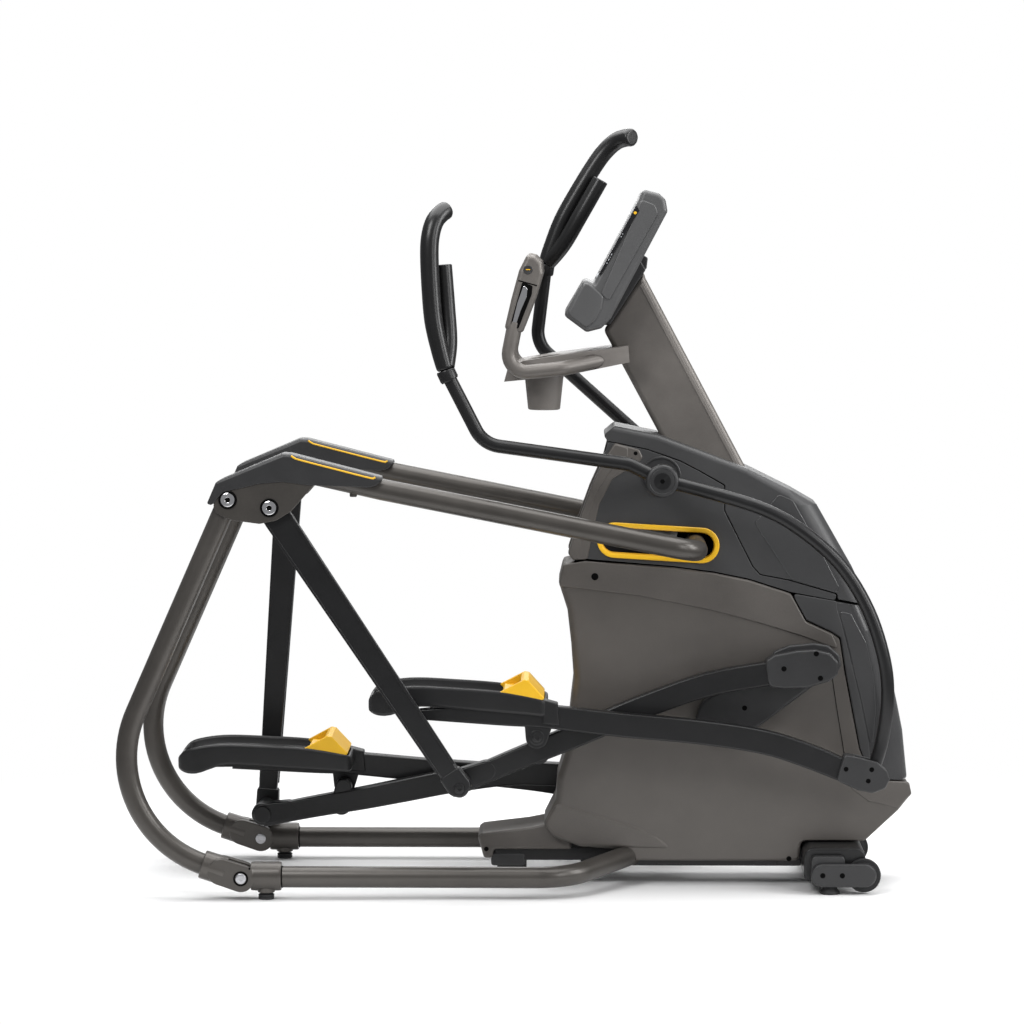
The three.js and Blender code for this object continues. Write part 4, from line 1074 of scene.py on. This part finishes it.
def pedal_shape(put, s):
    """The pedal's tray: rings of a rounded plan, each with its own height along the pedal."""
    plan = Rounded([(-350, 50), (-350, 248), (72, 248), (72, 50)], (46, 40, 20, 20), 8)
    dense = []
    for a, b in zip(plan, plan[1:] + plan[:1]):
        n = max(1, int(math.dist(a, b) // 14))
        dense += [(a[0] + (b[0] - a[0]) * k / n, a[1] + (b[1] - a[1]) * k / n) for k in range(n)]
    if area(dense) < 0:
        dense = dense[::-1]

    def ring(d, line, lift):
        out = []
        for (x, y), (x0, _) in zip(inset(dense, d), dense):
            px, pz = put((x, height_on(line, x0) + lift))
            out.append((px, s * y, pz))
        return out

    floor = lambda d, lift: ring(d, PEDAL_TOP_CURVE, lift)
    rings = [
        ring(16, PEDAL_LOW_CURVE, 14), ring(9, PEDAL_LOW_CURVE, 2), ring(4, PEDAL_LOW_CURVE, 0),
        ring(
            1, PEDAL_LOW_CURVE, 3
        ), ring(0, PEDAL_LOW_CURVE, 8), floor(0, -9), floor(0.6, -4), floor(2.4, -1),
        floor(4.8, 0), floor(8, -1.5), floor(10, -6), floor(12, -19), floor(15, -22),
    ]
    return Shape().loft(rings)


for side, s in SIDES:
    hanger_body = f"{side}_hanger"
    front_body = "right_front_pin" if side == "right" else "left_handle"
    hub_body = "right_handle_hub" if side == "right" else "frame"
    start, angle = LINKS[side]["hanger"]
    along = lambda p: plus(start, turned(p, angle))
    bar = Shape().slab(
        [along(p) for p in stadium((0, 0), 33, (HANGER_LENGTH, 0), 22, 20)], s * 293, s * 327, 5.5, 4
    )
    for edge_sign in (-1, 1):
        rail = [along((d, edge_sign * (29.5 - 8 * d / HANGER_LENGTH))) for d in (30, 250, 500, 735)]
        rail_line = [(*p, 3.0) for p in rail]
        bar.slab(band(rail_line), s * 325.5, s * 328.6, 1.2)
    piece(f"{side}_hanger_bar", bar, hanger_body, BLACK, f"{side}_hanger")
    foot = carried(side, "hanger")
    sleeve_line = [(-180, 285), (-157, 250), (-146, 243), (-122, 243), (-105, 267), (-109, 281), (-135, 315)]
    sleeve = Shape().slab(Rounded([foot(p) for p in sleeve_line], 9, 4), s * 291, s * 329.5, 5, 4)
    piece(f"{side}_hanger_foot", sleeve, hanger_body, BLACK, slot="dark_plastic")
    low = LINKS[side]["beam"][0]
    lower_pin = socket_bolt(Shape(), low, 329.5, s, 12.5, 4.5, 4.8)
    lower_pin.lathe([(0, 194), (20, 194), (22, 196), (22, 289), (20, 291), (0, 291)], low, sign=s)
    lower_pin.lathe([(0, 140.5), (19, 140.5), (21, 142.5), (21, 145.6), (0, 145.6)], low, sign=s)
    piece(
        f"{side}_low_pin", lower_pin, f"{side}_hanger_lower_pin", BLACK, f"{side}_hanger_lower_pin",
        slot="steel"
    )

    # Lower beam.
    put = carried(side, "beam")
    beam_body = f"{side}_lower_beam"
    line = smooth([(x + right_low[0], z + right_low[1], h) for x, z, h in BEAM_LINE], 6)
    start_cap = stadium(right_low, 27, plus(right_low, (60, 22)), 24, 14)
    beam = Shape().slab([put(p) for p in band(line)], s * 147, s * 189, 5, 4)
    beam.slab([put(p) for p in start_cap], s * 146.4, s * 190, 5, 4)
    pedal_pin = LINKS[side]["pedal_pin"]
    right_pedal_pin = LINKS["right"]["pedal_pin"]
    beam.slab(
        [put(p) for p in stadium(right_pedal_pin, 20, plus(right_pedal_pin, (4, -44)), 26, 12)], s * 150,
        s * 188, 4
    )
    beam.lathe([(0, 149.2), (14, 149.2), (14, 194), (0, 194)], pedal_pin, sign=s)
    piece(f"{side}_beam_bar", beam, beam_body, BLACK, f"{side}_lower_beam")
    cover = Shape().slab(Rounded([put(p) for p in BEAM_CAP], 12, 4), s * 145.4, s * 193.5, 6, 5)
    piece(f"{side}_beam_cover", cover, beam_body, DARK)
    behind = Shape().slab(Rounded([put(p) for p in BEAM_CAP_BACK], 14, 4), s * 145.6, s * 168, 5, 4)
    piece(f"{side}_beam_cover_back", behind, beam_body, DARK)
    holes(
        f"{side}_beam_holes", beam_body, [put(p) for p in ((628, 530), (704, 566), (714, 508))], s * 193.5, s,
        6.2
    )

    # Pedal arm and pedal.
    put = carried(side, "arm")
    arm_body = f"{side}_pedal_arm"
    line = smooth([(x + right_front[0], z + right_front[1], h) for x, z, h in ARM_LINE], 6)
    arm = Shape().slab([put(p) for p in band(line)], s * 200, s * 240, 5, 4)
    hang = stadium(right_pedal_pin, 26, plus(right_pedal_pin, (6, 50)), 36, 16)
    arm.slab([put(p) for p in hang], s * 202, s * 238, 3)
    piece(f"{side}_arm_bar", arm, arm_body, BLACK, f"{side}_pedal_arm")
    pin_head = socket_bolt(Shape(), pedal_pin, 238, s, 12, 4, 5)
    pin_head.lathe([(12.5, 237), (18, 237), (18, 239.6), (16.5, 240.4), (12.5, 240.4)], pedal_pin, sign=s)
    piece(f"{side}_pedal_pin", pin_head, arm_body, BLACK)
    fork = Shape()
    for near, far in ((193.5, 203), (237, 248.6)):
        fork.slab(Rounded([put(p) for p in ARM_CAP], 10, 4), s * near, s * far, 3.4, 4)
    tail = [(768, 333), (796, 328), (786, 256), (750, 273), (757, 300)]
    fork.slab(Rounded([put(p) for p in tail], 6, 3), s * 194, s * 248, 3)
    piece(f"{side}_arm_cover", fork, arm_body, DARK)
    holes(
        f"{side}_arm_holes", arm_body, [put(p) for p in ((772, 300), (832, 299), (824, 272))], s * 248.6, s,
        5.6
    )

    tray = pedal_shape(put, s)
    piece(f"{side}_pedal_tray", tray, arm_body, PEDAL, f"{side}_pedal", sharp=50)
    ribs = Shape()
    for k in range(11):
        y = 76 + k * 14.6
        line = []
        for x in range(-312, -34, 18):
            px, pz = put((x, height_on(PEDAL_TOP_CURVE, x) - 20.6))
            line.append((px, s * y, pz))
        ribs.tube(line, 2.6, 8)
    piece(f"{side}_pedal_ribs", ribs, arm_body, RUBBER, slot="pedal_plastic")
    # Toe insert: a hollow wedge across the pedal.
    toe = Shape()
    for outline, near, far, edge in (
        (TOE_CHEEK, 236, 245, 2.5), (TOE_CHEEK, 55, 64, 2.5), (TOE_BRIDGE, 60, 240, 1.5),
        (TOE_LEDGE, 62, 238, 1.5),
    ):
        toe.slab(Rounded([put(p) for p in outline], 4, 3), s * near, s * far, edge)
    piece(f"{side}_toe_insert", toe, arm_body, YELLOW)
    neck = [(60, 462), (96, 452), (100, 400), (60, 404)]
    collar = Shape().slab(Rounded([put(p) for p in neck], 4, 3), s * 196, s * 244, 4)
    piece(f"{side}_pedal_neck", collar, arm_body, PEDAL)
    stud = Shape()
    for x in (-310, -180):
        px, pz = put((x, height_on(PEDAL_LOW_CURVE, x) + 2))
        stud.lathe(
            [(0, pz - 11), (4, pz - 11), (5, pz - 9), (5, pz + 4), (0, pz + 4)], (px, s * 150), axis="z",
            sides=16
        )
    piece(f"{side}_pedal_studs", stud, arm_body, PEDAL)

    front_pin = LINKS[side]["arm"][0]
    pin_shape = Shape().lathe([(0, 193.6), (9, 193.6), (9, 247.5), (0, 247.5)], front_pin, sign=s)
    piece(f"{side}_front_axle", pin_shape, front_body, STEEL, f"{side}_front_pin")

    # Crank.
    start, angle = LINKS[side]["crank"]
    along_crank = lambda p: plus(start, turned(p, angle))
    arm_outline = [along_crank(p) for p in stadium((15, 20), 65, (CRANK_THROW, 0), 34, 26)]
    crank = Shape().slab(arm_outline, s * 118.4, s * 138, 9, 5)
    crank.lathe(
        [(0, 136), (24, 136), (24, 143.6), (22.6, 144.6), (0, 144.6)], along_crank((CRANK_THROW, 0)), sign=s
    )
    piece(f"{side}_crank_cover", crank, "crank", DARK, f"{side}_crank_arm", slot="black_steel")
    holes(f"{side}_crank_hole", "crank", [along_crank((72, 14))], s * 138, s, 6.0)

    # Handle.
    put = carried(side, "handle")
    handle_body = f"{side}_handle"

    def place(x, y, z):
        px, pz = put(plus(PIVOT, (x, z)))
        return (px, s * y, pz)

    hand_front = less(right_front, PIVOT)
    upper_bar = bent([place(x, 250, z) for x, z in ((0, 0), (-77, 38), (-418, 85), (-500, 245))], 72, 12)
    lower_points = [
        (0, 250, 0), (89, 250, -22), (229, 250, -64), (323, 250, -115), (416, 250, -197), (482, 250, -303),
        (520, 250, -420), (529, 244, -514), (519, 224, -608), (504, 220, -665),
        (hand_front[0], 220, hand_front[1]),
    ]
    lower_bar = smooth([place(*p) for p in lower_points], 6)
    arm = Shape().tube(upper_bar, 16, 28)
    arm.tube(lower_bar, 15.6, 28)
    arm.tube(
        [place(x, 250, z) for x, z in ((-495, 233), (-497, 237), (-505, 254), (-506, 257))],
        [20, 22.2, 22.2, 20.5], 28
    )
    arm.lathe([(0, 227), (36, 227), (38, 229), (38, 271), (36, 273.5), (0, 273.5)], PIVOT, sign=s, sides=44)
    arm.lathe([(0, 205), (24, 205), (26, 207), (26, 233), (24, 235), (0, 235)], put(right_front), sign=s)
    piece(f"{side}_handle_bar", arm, handle_body, BLACK, f"{side}_handle_arm")
    main = smooth([place(*p) for p in (
        (-506, 250, 257), (-518, 250, 300), (-533, 250, 370), (-540, 250, 450), (-543, 250, 530),
        (-540, 247, 572),
        (-531, 238, 603), (-516, 222, 622), (-504, 207, 630))], 7)
    swell = [19.5 + 2.3 * min(1, i / 14) for i in range(len(main))]
    grip = Shape().tube(main, swell, 28, dome=7)
    side_line = smooth(
        [place(*p) for p in ((-504, 246, 264), (-498, 226, 322), (-503, 214, 400), (-511, 212, 503))], 8
    )
    grip.tube(side_line, 19.5, 28, dome=3)
    sleeve = piece(f"{side}_grip_sleeve", grip, handle_body, RUBBER, f"{side}_handle_grip")
    hub = Shape().lathe(
        [
            (0, 112), (22, 112), (22, 225.4), (12, 226), (12, 274.5), (34, 274.5), (36.5, 276), (36.5, 278),
            (34.5, 280), (30, 280.6), (28.5, 279.4), (27, 280.4), (12, 281), (9.6, 279.8), (0, 279.6)
        ],
        PIVOT, sign=s, sides=44,
    )
    piece(f"{side}_hub_cap", hub, hub_body, DARK, f"{side}_handle_hub")
    groove = Shape().lathe(
        [(0, 279), (20, 279), (20, 281.3), (18.6, 281.6), (17.4, 281.3), (0, 280.9)], PIVOT, sign=s, sides=36
    )
    piece(f"{side}_hub_ring", groove, hub_body, BLACK, slot="dark_plastic")
    # A near-black hexagon for the hub bolt's socket: painted shade.
    hub_bolt = Shape().slab(disc(PIVOT, 5.6, 6), s * 279.4, s * 282, 0.5)
    piece(f"{side}_hub_bolt", hub_bolt, hub_body, HOLE)

# ---------------------------------------------------------------- floor, light and camera
floor_material = bpy.data.materials.new("floor")
floor_material.use_nodes = True
floor_tree = floor_material.node_tree
paint = floor_tree.nodes["Principled BSDF"]
paint.inputs["Base Color"].default_value = (0.93, 0.93, 0.93, 1)
paint.inputs["Roughness"].default_value = 0.6
place, reach, fade, clear, mix = (floor_tree.nodes.new("ShaderNode" + kind) for kind in (
    "TexCoord", "VectorMath", "MapRange", "BsdfTransparent", "MixShader"))
reach.operation = "LENGTH"
fade.interpolation_type = "SMOOTHSTEP"
fade.inputs["From Min"].default_value = 1.1
fade.inputs["From Max"].default_value = 2.3
wired(
    floor_tree, (place, "Object", reach, 0), (reach, "Value", fade, "Value"), (fade, "Result", mix, "Fac"),
    (paint, "BSDF", mix, 1), (clear, "BSDF", mix, 2),
    (mix, "Shader", floor_tree.nodes["Material Output"], "Surface"),
)
floor_mesh = bpy.data.meshes.new("floor")
floor_ring = disc((0, 0), 2.4, 64)
floor_mesh.from_pydata([(x, y, 0.0) for x, y in floor_ring], [], [list(range(64))])
floor_mesh.materials.append(floor_material)
floor = bpy.data.objects.new("floor", floor_mesh)
bpy.context.scene.collection.objects.link(floor)

scene = bpy.context.scene
scene.view_settings.view_transform = "Standard"
world = bpy.data.worlds.new("studio")
scene.world = world
world.use_nodes = True
studio = world.node_tree
surround = studio.nodes["Background"]
surround.inputs["Color"].default_value = (0.97, 0.98, 1.0, 1)
surround.inputs["Strength"].default_value = 0.27
backdrop = studio.nodes.new("ShaderNodeBackground")
backdrop.inputs["Color"].default_value = (1, 1, 1, 1)
seen = studio.nodes.new("ShaderNodeLightPath")
choose = studio.nodes.new("ShaderNodeMixShader")
wired(
    studio, (seen, "Is Camera Ray", choose, "Fac"), (surround, "Background", choose, 1),
    (backdrop, "Background", choose, 2), (choose, "Shader", studio.nodes["World Output"], "Surface"),
)


def softbox(name, place, aim, size, power):
    data = bpy.data.lights.new(name, "AREA")
    data.shape = "RECTANGLE"
    data.size, data.size_y = size
    data.energy = power
    made = bpy.data.objects.new(name, data)
    made.location = place
    made.rotation_euler = (Vector(aim) - Vector(place)).to_track_quat("-Z", "Y").to_euler()
    scene.collection.objects.link(made)


softbox("top", (0.1, 0.3, 3.6), (0.0, 0.0, 0.5), (4.4, 3.2), 170)
softbox("key", (-1.5, -3.0, 3.4), (0.1, 0.0, 1.35), (1.6, 1.6), 76)
softbox("fill", (3.4, -3.8, 2.4), (0.4, 0.0, 1.0), (1.2, 2.4), 50)
softbox("front", (3.6, -1.0, 2.2), (0.8, 0.0, 0.8), (1.2, 2.4), 80)
softbox("rear", (0.2, 4.2, 2.6), (0.0, 0.0, 0.9), (4.0, 1.6), 60)

camera_data = bpy.data.cameras.new("camera")
camera_data.lens = 147.3
camera_data.sensor_width = 36
camera_data.clip_end = 100
camera = bpy.data.objects.new("camera", camera_data)
camera.location = (0.142, -10.010, 1.624)
camera.rotation_euler = (math.radians(90 - 4.22), 0, math.radians(0.90))
scene.collection.objects.link(camera)
scene.camera = camera
